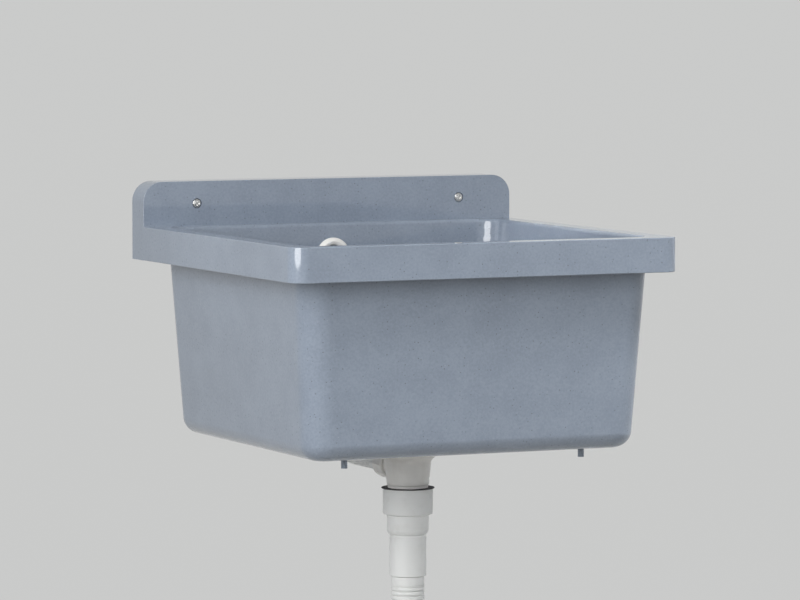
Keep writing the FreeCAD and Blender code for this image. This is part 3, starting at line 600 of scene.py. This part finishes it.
def bar(shape: Shape, size: Sequence[float], where: Matrix, rounding: float) -> None:
    """Adds a bar with rounded edges.

    Args:
        shape: mesh that takes the bar.
        size: its three lengths, in millimetres.
        where: place of its middle, in metres.
        rounding: radius of its edges, in millimetres.
    """
    stretch = Matrix.Diagonal((*[length * MM for length in size], 1.0))
    made = bmesh.ops.create_cube(shape, size=1.0, matrix=where @ stretch)
    edges = list({edge for vert in made["verts"] for edge in vert.link_edges})
    bmesh.ops.bevel(shape, geom=edges, offset=rounding * MM, segments=3, profile=0.5, affect="EDGES")


def join(name: str, *items: Item) -> Item:
    """Gathers the meshes of several objects in one."""
    shape = bmesh.new()
    for item in items:
        shape.from_mesh(item.data)
        bpy.data.objects.remove(item)
    return mesh_object(name, shape)


def cut(item: Item, tool: Shape, crossing: bool = False) -> None:
    """Takes the shape of a tool out of a piece and shades it anew.

    Args:
        item: the piece.
        tool: mesh of what is taken out.
        crossing: whether the tool's own parts cross each other.
    """
    cutter = close_mesh(f"{item.name}_cutter", tool)
    recess = item.modifiers.new("recess", "BOOLEAN")
    recess.object = cutter
    recess.operation = "DIFFERENCE"
    recess.solver = "EXACT"
    recess.use_self = crossing
    bake_modifiers(item)
    bpy.data.objects.remove(cutter)
    shade(item, 35.0)


class Tree(Graph):
    """Geometry node tree with named inputs."""

    def __init__(self, name: str, **inputs: str) -> None:
        """Makes a tree with a geometry input, a material input and the given inputs, by type."""
        super().__init__(bpy.data.node_groups.new(name, "GeometryNodeTree"))
        face = self.tree.interface
        for label, kind in {"Geometry": "Geometry", **inputs, "Material": "Material"}.items():
            face.new_socket(label, in_out="INPUT", socket_type=f"NodeSocket{kind}")
        face.new_socket("Geometry", in_out="OUTPUT", socket_type="NodeSocketGeometry")
        self.source = self.tree.nodes.new("NodeGroupInput")
        self.sink = self.tree.nodes.new("NodeGroupOutput")

    def given(self, label: str) -> Signal:
        """Signal of a named input."""
        return Signal(self, self.source.outputs[label])

    def close(self, geometry: Signal) -> None:
        """Realizes the instances, sets the material and ends the tree."""
        real = self.add("GeometryNodeRealizeInstances", {}, {"Geometry": geometry})
        sockets = {"Geometry": real, "Material": self.given("Material")}
        self.feed(self.sink.inputs[0], self.add("GeometryNodeSetMaterial", {}, sockets))

    def run(self, name: str, carrier: Item, **values: object) -> Item:
        """Grows a plain mesh from a carrier object.

        Args:
            name: name of the new piece.
            carrier: object that gives the tree its geometry; it is removed.
            values: the tree's inputs.

        Returns:
            The new object.
        """
        modifier = carrier.modifiers.new(name, "NODES")
        modifier.node_group = self.tree
        sockets = {
            item.name: item.identifier for item in self.tree.interface.items_tree if item.in_out == "INPUT"
        }
        for label, value in values.items():
            modifier[sockets[label]] = value
        mesh = evaluated_copy(carrier)
        mesh.name = name
        bpy.data.objects.remove(carrier)
        return new_object(name, mesh)


def ribbed_tube_tree() -> Tree:
    """Tree that sweeps a ribbed tube along a curve."""
    tree = Tree("ribbed_tube", Ribs="Int", Crest="Float", Root="Float", Plain="Float", Sides="Int")
    ribs, plain, root = (tree.given(label) for label in ("Ribs", "Plain", "Root"))
    rows = {"Curve": tree.given("Geometry"), "Count": ribs * RIB_ROWS + 1.0}
    line = tree.add("GeometryNodeResampleCurve", {}, rows)
    along = tree.add("GeometryNodeSplineParameter", output="Factor")
    share = (along - plain) / (1.0 - plain * 2.0)
    distance = tree.math("ABSOLUTE", tree.math("FRACT", share * ribs) - RIB_MIDDLE)
    crest = tree.step(distance, RIB_FOOT, RIB_TOP)
    within = tree.math("GREATER_THAN", share, 0.0) * tree.math("LESS_THAN", share, 1.0)
    full = tree.math("MAXIMUM", crest, 1.0 - within)
    radius = root + full * (tree.given("Crest") - root)
    circle = {"Resolution": tree.given("Sides"), "Radius": 1.0}
    section = tree.add("GeometryNodeCurvePrimitiveCircle", {}, circle)
    sockets = {"Curve": line, "Profile Curve": section, "Scale": radius, "Fill Caps": True}
    tube = tree.add("GeometryNodeCurveToMesh", {}, sockets)
    tree.close(tree.add("GeometryNodeSetShadeSmooth", {}, {"Geometry": tube, "Shade Smooth": True}))
    return tree


def copies_tree() -> Tree:
    """Tree that puts a copy of an object on each point, turned about an axis in even steps."""
    tree = Tree("copies", Part="Object", Axis="Vector", Step="Float")
    original = {"transform_space": "ORIGINAL"}
    part = tree.add("GeometryNodeObjectInfo", original, {"Object": tree.given("Part")}, "Geometry")
    angle = tree.add("GeometryNodeInputIndex") * tree.given("Step")
    sockets = {"Axis": tree.given("Axis"), "Angle": angle}
    turn = tree.add("FunctionNodeAxisAngleToRotation", {}, sockets)
    copies = {"Points": tree.given("Geometry"), "Instance": part, "Rotation": turn}
    tree.close(tree.add("GeometryNodeInstanceOnPoints", {}, copies))
    return tree


def route_curve(name: str, points: Sequence[Sequence[float]]) -> Item:
    """Smooth curve whose control points are a hose's route.

    Args:
        name: name of the curve.
        points: route in metres.

    Returns:
        The curve object.
    """
    curve = bpy.data.curves.new(name, "CURVE")
    curve.dimensions = "3D"
    curve.resolution_u = 48
    spline = curve.splines.new("NURBS")
    spline.points.add(len(points) - 1)
    for point, place in zip(spline.points, points):
        point.co = (*place, 1.0)
    spline.order_u = 3
    spline.use_endpoint_u = True
    return new_object(name, curve)


def curve_points(item: Item) -> list[Vector]:
    """Points along a curve object's smooth line."""
    mesh = evaluated_copy(item)
    points = [vert.co.copy() for vert in mesh.vertices]
    bpy.data.meshes.remove(mesh)
    return points


def point_cloud(name: str, points: Sequence[Sequence[float]]) -> Item:
    """Mesh of loose points that carries copies."""
    mesh = bpy.data.meshes.new(name)
    mesh.from_pydata([tuple(point) for point in points], [], [])
    return new_object(name, mesh)


def axis_at(spot: Sequence[float], tilt: float = 0.0) -> Matrix:
    """Place of an axis through a spot in millimetres, tilted from Z about X."""
    return Matrix.Translation(Vector(spot) * MM) @ Matrix.Rotation(tilt, 4, "X")


def shift(height: float) -> Matrix:
    """Step along an axis, in millimetres."""
    return Matrix.Translation((0, 0, height * MM))


DRAIN_AXIS = axis_at(DRAIN)


@dataclass
class Finishes:
    """All finishes of the sink, made once."""

    moulding: Material = field(default_factory=SpeckledMoulding().build)
    white: Material = field(default_factory=WhitePlastic().build)
    hose: Material = field(default_factory=SOFT_HOSE.build)
    rubber: Material = field(default_factory=BlackRubber().build)
    plated: Material = field(default_factory=PlatedSteel().build)
    spun: Material = field(default_factory=SpunSteel().build)


@dataclass
class Basin:
    """The moulded bowl with its rim, splashback and pegs."""

    finishes: Finishes

    def build(self) -> None:
        """Smooths the moulding and dresses it."""
        place_copy("basin", "basin_moulding", 30.0, Body.SINK, self.finishes.moulding)


@dataclass
class WallFixings:
    """Two cross-head screws through the splashback."""

    finishes: Finishes
    spacing: float = 286.0
    seat: float = 27.8
    head_radius: float = 3.8
    head_height: float = 2.6
    flange_radius: float = 4.2
    flange: float = 1.8
    dome_radius: float = 2.9
    shank_radius: float = 2.4
    neck_radius: float = 2.0
    core_radius: float = 1.8
    reach: float = 44.0
    thread_pitch: float = 2.1
    cross_width: float = 1.8
    cross_length: float = 5.0
    cross_depth: float = 2.0
    sides: int = 24
    rows_per_turn: int = 8
    thread_slope: float = 3.2
    second_turn: float = 0.45

    def head(self) -> Item:
        """Flanged head with a cross recess, about the axis of a screw at the origin."""
        where = Matrix.Rotation(math.pi / 2, 4, "X")
        top = self.seat + self.head_height
        low = self.seat
        corners = [
            (0, low, 0),
            (self.flange_radius, low, 0.2),
            (self.flange_radius, low + self.flange - 0.3, 0.3),
            (self.head_radius, low + self.flange, 0.3),
            (self.dome_radius, low + self.flange, 0.2),
            (self.dome_radius, top - 0.5, 0.3),
            (0.74 * self.head_radius, top - 0.1, 0.6),
            (0, top, 0),
        ]
        head = lathed("screw_head", corners, where, 48)
        tool = bmesh.new()
        for turn in (0.0, math.pi / 2):
            middle = where @ shift(top) @ Matrix.Rotation(turn, 4, "Z")
            bar(tool, (self.cross_length, self.cross_width, 2 * self.cross_depth), middle, 0.15)
        cut(head, tool, crossing=True)
        return head

    def shank(self) -> Item:
        """Threaded shank from under the head to its point."""
        where = Matrix.Rotation(math.pi / 2, 4, "X")
        high, low = self.seat + 0.1, -self.reach
        sides = self.sides
        turns = (high - low) / self.thread_pitch
        rows = int(turns * self.rows_per_turn)
        shape = bmesh.new()
        grid = []
        for row in range(rows + 1):
            height = high + (low - high) * row / rows
            taper = min(1.0, max(0.05, (height - low) / (3 * self.shank_radius)))
            line = []
            for side in range(sides):
                angle = 2 * math.pi * side / sides
                phase = (height / self.thread_pitch + side / sides) % 1.0
                crest = max(0.0, 1 - abs(phase - 0.5) * self.thread_slope)
                thread = self.core_radius + (self.shank_radius - self.core_radius) * crest
                radius = taper * (thread if height < 0 else self.neck_radius)
                spot = Vector((math.cos(angle) * radius, math.sin(angle) * radius, height)) * MM
                line.append(shape.verts.new(where @ spot))
            grid.append(line)
        for row in range(rows):
            for side in range(sides):
                follow = (side + 1) % sides
                upper, lower = grid[row], grid[row + 1]
                shape.faces.new((upper[side], lower[side], lower[follow], upper[follow]))
        shape.faces.new(grid[0])
        shape.faces.new(list(reversed(grid[-1])))
        return close_mesh("screw_shank", shape, 60.0)

    def build(self) -> None:
        """Puts a screw at each fixing."""
        screw = join("screw", self.head(), self.shank())
        places = point_cloud("fixings", [(side * self.spacing / 2 * MM, 0, 0) for side in (-1, 1)])
        item = copies_tree().run(
            "cross_head_screws", places, Part=screw, Axis=(0.0, 1.0, 0.0), Step=self.second_turn,
            Material=self.finishes.plated,
        )
        bpy.data.objects.remove(screw)
        place_piece(item, Body.SINK, self.finishes.plated, "wall_screws")


@dataclass
class UnionNut:
    """Ribbed nut that clamps the overflow hose."""

    name: str
    node: str
    where: Matrix
    radius: float = 12.9
    thread_radius: float = 10.8
    lip_radius: float = 8.6
    grip: float = 14.0
    shoulder: float = 4.9
    lip: float = 4.0
    bars: int = 10
    bar_radius: float = 1.4
    bar_width: float = 2.0
    bar_sunk: float = 0.7
    bar_short: float = 1.2

    def build(self, finishes: Finishes) -> None:
        """Turns the nut and repeats its grip bars.

        Args:
            finishes: finishes of the sink.
        """
        corners = [
            (self.thread_radius, -self.grip, 0.6),
            (self.radius, -self.grip, 1.2),
            (self.radius, self.shoulder, 1.4),
            (self.radius - self.lip / 2, self.shoulder + self.lip, 1.2),
            (self.lip_radius, self.shoulder + self.lip, 0.8),
            (self.lip_radius, self.shoulder, 0.3),
            (self.thread_radius, self.shoulder, 0.3),
        ]
        nut = lathed(f"{self.name}_turned", corners, self.where, 80)
        rod_shape = bmesh.new()
        length = self.grip + self.shoulder - self.bar_short
        middle = (self.shoulder - self.grip) / 2
        reach = self.radius - self.bar_sunk
        rod = self.where.to_3x3().to_4x4() @ Matrix.Translation((reach * MM, 0, middle * MM))
        bar(rod_shape, (2 * self.bar_radius, self.bar_width, length), rod, 0.6)
        part = close_mesh(f"{self.name}_rod", rod_shape, 35.0)
        origin = self.where.to_translation()
        axis = self.where.to_3x3() @ Vector((0, 0, 1))
        places = point_cloud(f"{self.name}_places", [tuple(origin)] * self.bars)
        grips = copies_tree().run(
            f"{self.name}_grips", places, Part=part, Axis=tuple(axis), Step=2 * math.pi / self.bars,
            Material=finishes.white,
        )
        bpy.data.objects.remove(part)
        item = join(self.name, nut, grips)
        place_piece(item, Body.SINK, finishes.white, self.node)


@dataclass
class OverflowLine:
    """Overflow ring, elbow, unions and the ribbed hose behind the bowl."""

    finishes: Finishes
    tree: Tree
    draft: float = 3.5
    centre_y: float = -38.418
    centre_z: float = -55.0
    ring_radius: float = 18.0
    mouth_radius: float = 11.0
    height: float = 4.5
    screw_head: float = 4.0
    screw_radius: float = 2.2
    screw_reach: float = 16.0
    slot_width: float = 1.0
    slot_depth: float = 1.6
    spoke_width: float = 3.0
    hub_radius: float = 4.4
    branch_end: tuple = (0.0, -166.0, -251.0)
    elbow_end: tuple = (0.0, -16.0, -91.0)
    route: tuple = (
        (0.0, -0.1635, -0.251),
        (0.0, -0.129, -0.251),
        (0.0, -0.0605, -0.251),
        (0.0, -0.016, -0.2065),
        (0.0, -0.016, -0.138),
        (0.0, -0.016, -0.0935),
    )
    crest: float = 8.2
    root: float = 6.8
    ribs: int = 45
    plain: float = 22.0

    def axis(self) -> Matrix:
        """Place of the overflow's axis, whose Z points out through the bowl's wall."""
        return axis_at((0, self.centre_y, self.centre_z), math.radians(-90 - self.draft))

    def cover(self) -> None:
        """Domed ring with spokes across its mouth."""
        high = self.height
        corners = [
            (self.mouth_radius, 0, 0),
            (self.mouth_radius, -0.72 * high, 1.6),
            (self.mouth_radius + 2.8, -high, 2.4),
            (self.ring_radius - 3.2, -high, 2.6),
            (self.ring_radius, -0.34 * high, 1.4),
            (self.ring_radius, 0, 0),
        ]
        dome = lathed("overflow_dome", corners, self.axis())
        shape = bmesh.new()
        for spin in (45, 135):
            middle = self.axis() @ shift(-high / 4) @ Matrix.Rotation(math.radians(spin), 4, "Z")
            bar(shape, (2 * self.mouth_radius + 1.6, self.spoke_width, high / 2), middle, 0.5)
        hub = [(0, 0, 0), (self.hub_radius, 0, 0), (self.hub_radius, -high / 2, 0.6), (0, -high / 2, 0)]
        lathe(shape, hub, self.axis(), 40)
        item = join("overflow_ring", dome, close_mesh("overflow_spokes", shape, 40.0))
        place_piece(item, Body.SINK, self.finishes.white, "overflow_cover")

    def screw(self) -> None:
        """Slotted screw in the middle of the ring."""
        seat, size = -self.height / 2, self.screw_head / 2
        corners = [
            (0, self.screw_reach, 0),
            (0, seat - size, 0),
            (0.7 * self.screw_head, seat - size, 1.0),
            (self.screw_head, seat - 0.35 * size, 0.6),
            (self.screw_head, seat, 0),
            (self.screw_radius, seat, 0),
            (self.screw_radius, self.screw_reach, 0.4),
        ]
        head = lathed("overflow_screw_turned", corners, self.axis(), 48)
        tool = bmesh.new()
        slot = (2.4 * self.screw_head, self.slot_width, self.slot_depth)
        bar(tool, slot, self.axis() @ shift(seat - size), 0.12)
        cut(head, tool)
        head.name = "overflow_slotted_screw"
        place_piece(head, Body.SINK, self.finishes.plated, "overflow_screw")

    def hose(self) -> None:
        """Ribbed hose from the waste's branch up to the elbow."""
        curve = route_curve("overflow_route", self.route)
        points = curve_points(curve)
        length = sum((after - before).length for before, after in zip(points, points[1:]))
        item = self.tree.run(
            "overflow_ribbed_hose", curve, Ribs=self.ribs, Crest=self.crest * MM, Root=self.root * MM,
            Plain=self.plain * MM / length, Sides=40, Material=self.finishes.hose,
        )
        place_piece(item, Body.SINK, self.finishes.hose, "overflow_hose")

    def build(self) -> None:
        """Builds the line from the ring to the branch."""
        self.cover()
        self.screw()
        white = self.finishes.white
        place_copy("overflow_elbow", "overflow_elbow_moulding", 35.0, Body.SINK, white)
        up, across = axis_at(self.elbow_end, math.pi), axis_at(self.branch_end, -math.pi / 2)
        UnionNut("elbow_union_nut", "elbow_nut", up).build(self.finishes)
        UnionNut("branch_union_nut", "branch_nut", across).build(self.finishes)
        self.hose()
        for node in ("overflow_gasket", "elbow_seal", "branch_seal"):
            finish_node(node, self.finishes.rubber)


@dataclass
class Waste:
    """Strainer in the bowl's floor and the white waste under it."""

    finishes: Finishes
    top: float = -230.0
    flange_radius: float = 35.0
    flange: float = 5.0
    throat_radius: float = 22.5
    throat: float = -243.0
    neck_radius: float = 20.5
    neck: float = -266.0
    tail_radius: float = 19.6
    tail: float = -290.0
    mouth_radius: float = 28.0
    bore_radius: float = 17.5
    branch_z: float = -251.0
    branch_radius: float = 8.6
    branch_bore: float = 6.4
    branch_reach: float = 50.0
    thread_radius: float = 10.4
    thread_length: float = 16.0
    thread_pitch: float = 2.3
    thread_depth: float = 0.9
    branch_start: float = 18.5
    bridge_z: float = -236.5
    bridge_size: tuple = (54.0, 4.0, 9.0)
    boss_radius: float = 6.0
    boss_top: float = -232.0
    boss_low: float = -246.0
    screw_radius: float = 2.9
    screw_reach: float = 16.0
    slot_size: tuple = (16.0, 1.3, 2.4)

    def waste_body(self) -> None:
        """Funnel, tail and branch of the waste."""
        under = self.top - self.flange
        funnel = self.flange_radius - 4.0
        corners = [
            (self.mouth_radius, self.top, 0.4),
            (self.flange_radius, self.top, 0.6),
            (self.flange_radius, under, 1.4),
            (funnel, under - 0.2, 2.0),
            (self.throat_radius, self.throat, 5.0),
            (self.neck_radius, self.neck, 0.8),
            (self.tail_radius, self.neck - 0.9, 0.6),
            (self.tail_radius, self.tail, 1.0),
            (self.bore_radius, self.tail, 0.6),
            (self.bore_radius, self.throat - 2.5, 3.0),
            (self.mouth_radius, under, 1.0),
        ]
        body = lathed("waste_turned", corners, DRAIN_AXIS)
        out = axis_at((0, DRAIN[1], self.branch_z), -math.pi / 2)
        start = self.branch_reach - self.thread_length
        threads = []
        turns = int(self.thread_length / self.thread_pitch)
        for number in range(turns):
            low = start + number * self.thread_pitch
            threads += [
                (self.thread_radius - self.thread_depth, low, 0.2),
                (self.thread_radius, low + 0.35 * self.thread_pitch, 0.25),
                (self.thread_radius, low + 0.65 * self.thread_pitch, 0.25),
            ]
        profile = [
            (self.branch_bore, self.branch_start, 0),
            (self.branch_radius, self.branch_start, 0),
            *threads,
            (self.thread_radius - self.thread_depth, self.branch_reach, 0.4),
            (self.branch_bore, self.branch_reach, 0.3),
        ]
        branch = lathed("waste_branch", profile, out, 64)
        shape = bmesh.new()
        bar(shape, self.bridge_size, DRAIN_AXIS @ shift(self.bridge_z), 0.6)
        boss = [
            (self.screw_radius, self.boss_top, 0.3),
            (self.boss_radius, self.boss_top, 0.5),
            (self.boss_radius, self.boss_low, 0.5),
            (self.screw_radius, self.boss_low, 0.3),
        ]
        lathe(shape, boss, DRAIN_AXIS, 40)
        item = join("waste_moulding", body, branch, close_mesh("waste_bridge", shape, 40.0))
        place_piece(item, Body.SINK, self.finishes.white, "waste_body")

    def screw(self) -> None:
        """Domed slotted screw in the strainer's floor."""
        floor, size = self.top, self.screw_radius
        corners = [
            (0, floor - self.screw_reach, 0),
            (size, floor - self.screw_reach, 0.6),
            (size, floor, 0),
            (self.boss_radius, floor, 0.2),
            (5.6, floor + 1.4, 1.6),
            (3, floor + size, 2.0),
            (0, floor + size, 0),
        ]
        head = lathed("strainer_screw_turned", corners, DRAIN_AXIS, 56)
        tool = bmesh.new()
        bar(tool, self.slot_size, DRAIN_AXIS @ shift(floor + size), 0.15)
        cut(head, tool)
        head.name = "strainer_slotted_screw"
        place_piece(head, Body.SINK, self.finishes.plated, "strainer_screw")

    def build(self) -> None:
        """Builds the strainer, its screw and the waste."""
        place_copy("drain_strainer", "strainer_dish", 35.0, Body.SINK, self.finishes.spun)
        self.screw()
        self.waste_body()
        for node in ("flange_seal", "waste_gasket"):
            finish_node(node, self.finishes.rubber)


@dataclass
class DrainHose:
    """Stepped cuff, lip seal, ribbed hose and end spigot."""

    finishes: Finishes
    tree: Tree
    cuff_top: float = -270.0
    shoulder: float = -295.0
    waist: float = -314.0
    foot: float = -355.0
    cuff_end: float = -364.0
    flange_radius: float = 25.8
    flange: float = 0.8
    top_radius: float = 24.25
    middle_radius: float = 20.2
    lower_radius: float = 17.85
    end_radius: float = 15.85
    step: float = 0.8
    groove: float = 0.9
    wall: float = 2.2
    tail_radius: float = 19.7
    crest: float = 16.0
    root: float = 13.6
    ribs: int = 49
    plain: float = 1.2
    hose_end: float = -583.0
    spigot_length: float = 58.0
    spigot_bore: float = 13.4
    collar_radius: float = 19.0
    collar: float = 5.0
    seal_depth: float = 9.0

    def cuff(self) -> None:
        """Soft stepped cuff with a groove under its middle step."""
        wall, step, groove = self.wall, self.step, self.groove
        corners = [
            (self.top_radius, self.cuff_top, 0.5),
            (self.top_radius, self.shoulder, 1.8),
            (self.middle_radius, self.shoulder - step, 0.4),
            (self.middle_radius, self.waist + 3.6, 2.4),
            (self.middle_radius - 1.3, self.waist + 0.2, 1.4),
            (self.lower_radius - groove, self.waist - step, 0.2),
            (self.lower_radius - groove, self.waist - step - groove, 0.3),
            (self.lower_radius, self.waist - step - 2 * groove, 0.4),
            (self.lower_radius, self.foot, 0.9),
            (self.end_radius, self.foot - step / 2, 0.8),
            (self.end_radius, self.cuff_end, 0.5),
            (self.end_radius - wall, self.cuff_end, 0.3),
            (self.end_radius - wall, self.foot + wall, 1.0),
            (self.lower_radius - wall, self.foot + wall + step, 1.0),
            (self.lower_radius - wall, self.waist + wall - step, 1.0),
            (self.middle_radius - wall, self.waist + wall, 1.0),
            (self.middle_radius - wall, self.shoulder - step, 0.6),
            (self.top_radius - wall, self.shoulder + wall - step, 0.4),
            (self.top_radius - wall, self.cuff_top, 0.8),
        ]
        item = lathed("stepped_cuff", corners, DRAIN_AXIS)
        place_piece(item, Body.SINK, self.finishes.hose, "hose_cuff")

    def seal(self) -> None:
        """Black lip ring in the cuff's mouth, with a thin flange on top of it."""
        outer = self.top_radius - self.wall - 0.1
        corners = [
            (self.tail_radius, self.cuff_top + self.flange, 0.1),
            (self.flange_radius, self.cuff_top + self.flange, 0.3),
            (self.flange_radius, self.cuff_top, 0.3),
            (outer, self.cuff_top, 0.2),
            (outer, self.cuff_top - self.seal_depth, 0.5),
            (self.tail_radius, self.cuff_top - self.seal_depth, 0.5),
        ]
        item = lathed("lip_ring", corners, DRAIN_AXIS)
        place_piece(item, Body.SINK, self.finishes.rubber, "lip_seal")

    def spigot(self) -> Item:
        """Plain pipe end with a collar."""
        low = self.hose_end - self.spigot_length
        corners = [
            (self.spigot_bore, self.hose_end, 0.6),
            (self.collar_radius, self.hose_end, 1.0),
            (self.collar_radius, self.hose_end - self.collar, 1.0),
            (self.crest, self.hose_end - self.collar, 0.8),
            (self.crest, low + 2.0, 0.8),
            (self.crest - 1.0, low, 0.5),
            (self.spigot_bore, low, 0.6),
        ]
        item = lathed("hose_spigot", corners, DRAIN_AXIS)
        return place_piece(item, Body.HOSE_END, self.finishes.hose, "end_spigot")

    def hose(self, spigot: Item) -> None:
        """Ribbed hose from the cuff down to the spigot.

        Args:
            spigot: piece on the hose's far end; not used.
        """
        x, y = DRAIN[0] * MM, DRAIN[1] * MM
        top, low = self.cuff_end * MM, self.hose_end * MM
        route = ((x, y, top), (x, y, (top + low) / 2), (x, y, low))
        curve = route_curve("drain_route", route)
        path = curve_points(curve)
        length = top - low
        item = self.tree.run(
            "drain_ribbed_hose", curve, Ribs=self.ribs, Crest=self.crest * MM, Root=self.root * MM,
            Plain=self.plain * MM / length, Sides=64, Material=self.finishes.hose,
        )
        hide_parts("drain_hose")
        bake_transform(item)
        2 * self.crest * MM
        log.info("%s: %d faces", item.name, len(item.data.polygons))

    def build(self) -> None:
        """Builds the cuff, its seal, the hose and its end."""
        self.hose(self.spigot())
        self.cuff()
        self.seal()


@dataclass
class PlugSet:
    """Rubber plug and the wire ring that pulls it."""

    finishes: Finishes

    def build(self) -> None:
        """Smooths and dresses the plug and the ring."""
        place_copy("drain_plug", "rubber_plug", 40.0, Body.PLUG, self.finishes.rubber)
        place_copy("pull_ring", "wire_ring", 60.0, Body.RING, self.finishes.plated)


@dataclass(frozen=True)
class Lamp:
    """Soft rectangular lamp, in metres and watts."""

    name: str
    spot: tuple
    aim: tuple
    size: tuple
    power: float
    mirrored: bool = False
    spread: float = 180.0

    def build(self) -> None:
        """Hangs the lamp and turns it to its aim."""
        light = bpy.data.lights.new(self.name, "AREA")
        light.shape = "RECTANGLE"
        light.size, light.size_y = self.size
        light.energy = self.power
        light.spread = math.radians(self.spread)
        item = new_object(self.name, light)
        item.location = self.spot
        item.rotation_euler = (Vector(self.aim) - Vector(self.spot)).to_track_quat("-Z", "Y").to_euler()
        item.visible_glossy = self.mirrored


@dataclass
class Studio:
    """Camera, lights and the pale floor."""

    camera_spot: tuple = (-1.9065, -4.331, 0.2428)
    yaw: float = 24.762
    pitch: float = 4.168
    focal_pixels: float = 4711.0
    image_width: float = 800.0
    floor_z: float = -0.9
    floor_reach: float = 200.0
    pale: tuple = (0.580, 0.590, 0.590)
    ambient: tuple = (0.200, 0.207, 0.216)
    floor_tone: tuple = (0.710, 0.716, 0.710)
    floor_dark: tuple = (0.20, 0.20, 0.195)
    floor_light: tuple = (0.24, 0.24, 0.235)
    floor_glow: float = 0.8
    lamps: tuple = (
        Lamp("left_window", (-1.658, -1.343, 0.794), (-0.19, -0.39, 0.794), (1.34, 1.9), 54.0, mirrored=True),
        Lamp("ceiling", (0.1, -2.4, 2.3), (0.0, -0.3, -0.1), (3.0, 2.0), 11.0),
        Lamp("right_side", (2.2, -0.9, 0.3), (0.1, -0.3, -0.15), (1.6, 1.6), 19.0),
        Lamp("left_high", (-1.3, -0.9, 1.5), (0.0, -0.3, -0.1), (1.0, 0.8), 3.0),
        Lamp("back_fill", (0.3, 2.4, 0.2), (0.0, 0.0, -0.2), (2.0, 1.4), 14.0),
        Lamp("over_front", (0.1, -0.95, 1.5), (0.1, -0.75, -0.2), (1.6, 0.3), 3.0, spread=40.0),
        Lamp("over_right", (0.9, -0.85, 1.3), (0.6, -0.62, -0.1), (0.8, 0.5), 6.0, spread=45.0),
        Lamp("over_left", (-0.75, -0.18, 0.55), (0.165, -0.17, -0.02), (0.08, 0.36), 0.09, spread=16.0),
    )

    def camera(self) -> None:
        """Camera at the photograph's viewpoint."""
        lens = bpy.data.cameras.new("camera")
        lens.sensor_width = 36.0
        lens.lens = self.focal_pixels * lens.sensor_width / self.image_width
        lens.clip_end = 2 * self.floor_reach
        item = new_object("camera", lens)
        item.location = self.camera_spot
        item.rotation_euler = (math.radians(90 - self.pitch), 0.0, math.radians(-self.yaw))
        bpy.context.scene.camera = item

    def world(self) -> None:
        """Soft light from all sides, pale where it is seen or mirrored."""
        world = bpy.data.worlds.new("soft_room")
        bpy.context.scene.world = world
        world.use_nodes = True
        sky = Shading(world.node_tree)
        sky.feed(sky.find("BACKGROUND").inputs["Color"], sky.mix(sky.seen(), self.ambient, self.pale))

    def floor(self) -> None:
        """Wide pale floor below the hose's end, which keeps a soft shadow."""
        shape = bmesh.new()
        bmesh.ops.create_grid(shape, x_segments=8, y_segments=8, size=self.floor_reach)
        bmesh.ops.translate(shape, verts=shape.verts, vec=(0, 0, self.floor_z))
        item = close_mesh("floor", shape)
        board = Board("pale_floor")
        grain = board.noise(board.place(), 3.0, 3.0)
        colour = board.mix(grain, self.floor_dark, self.floor_light)
        board.dress(Base_Color=colour, Roughness=0.8)
        glow = board.add("ShaderNodeEmission", {}, {"Color": self.floor_tone, "Strength": 1.0})
        lit = Signal(board, board.shader.outputs[0])
        even = board.add("ShaderNodeMixShader", {}, {0: board.seen() * self.floor_glow, 1: lit, 2: glow})
        board.feed(board.find("OUTPUT_MATERIAL").inputs["Surface"], even)
        item.data.materials.append(board.material)

    def build(self) -> None:
        """Sets the stage."""
        self.camera()
        self.floor()
        self.world()
        for lamp in self.lamps:
            lamp.build()
        bpy.context.scene.view_settings.view_transform = "Standard"


def main() -> None:
    """Builds the stage and every sub-assembly, and reports each piece."""
    logging.basicConfig(level=logging.INFO, format="%(name)s: %(message)s")
    Studio().build()
    finishes = Finishes()
    tube = ribbed_tube_tree()
    DrainHose(finishes, tube).build()
    OverflowLine(finishes, tube).build()
    Waste(finishes).build()
    WallFixings(finishes).build()
    Basin(finishes).build()
    PlugSet(finishes).build()


if __name__ == "__main__":
    main()
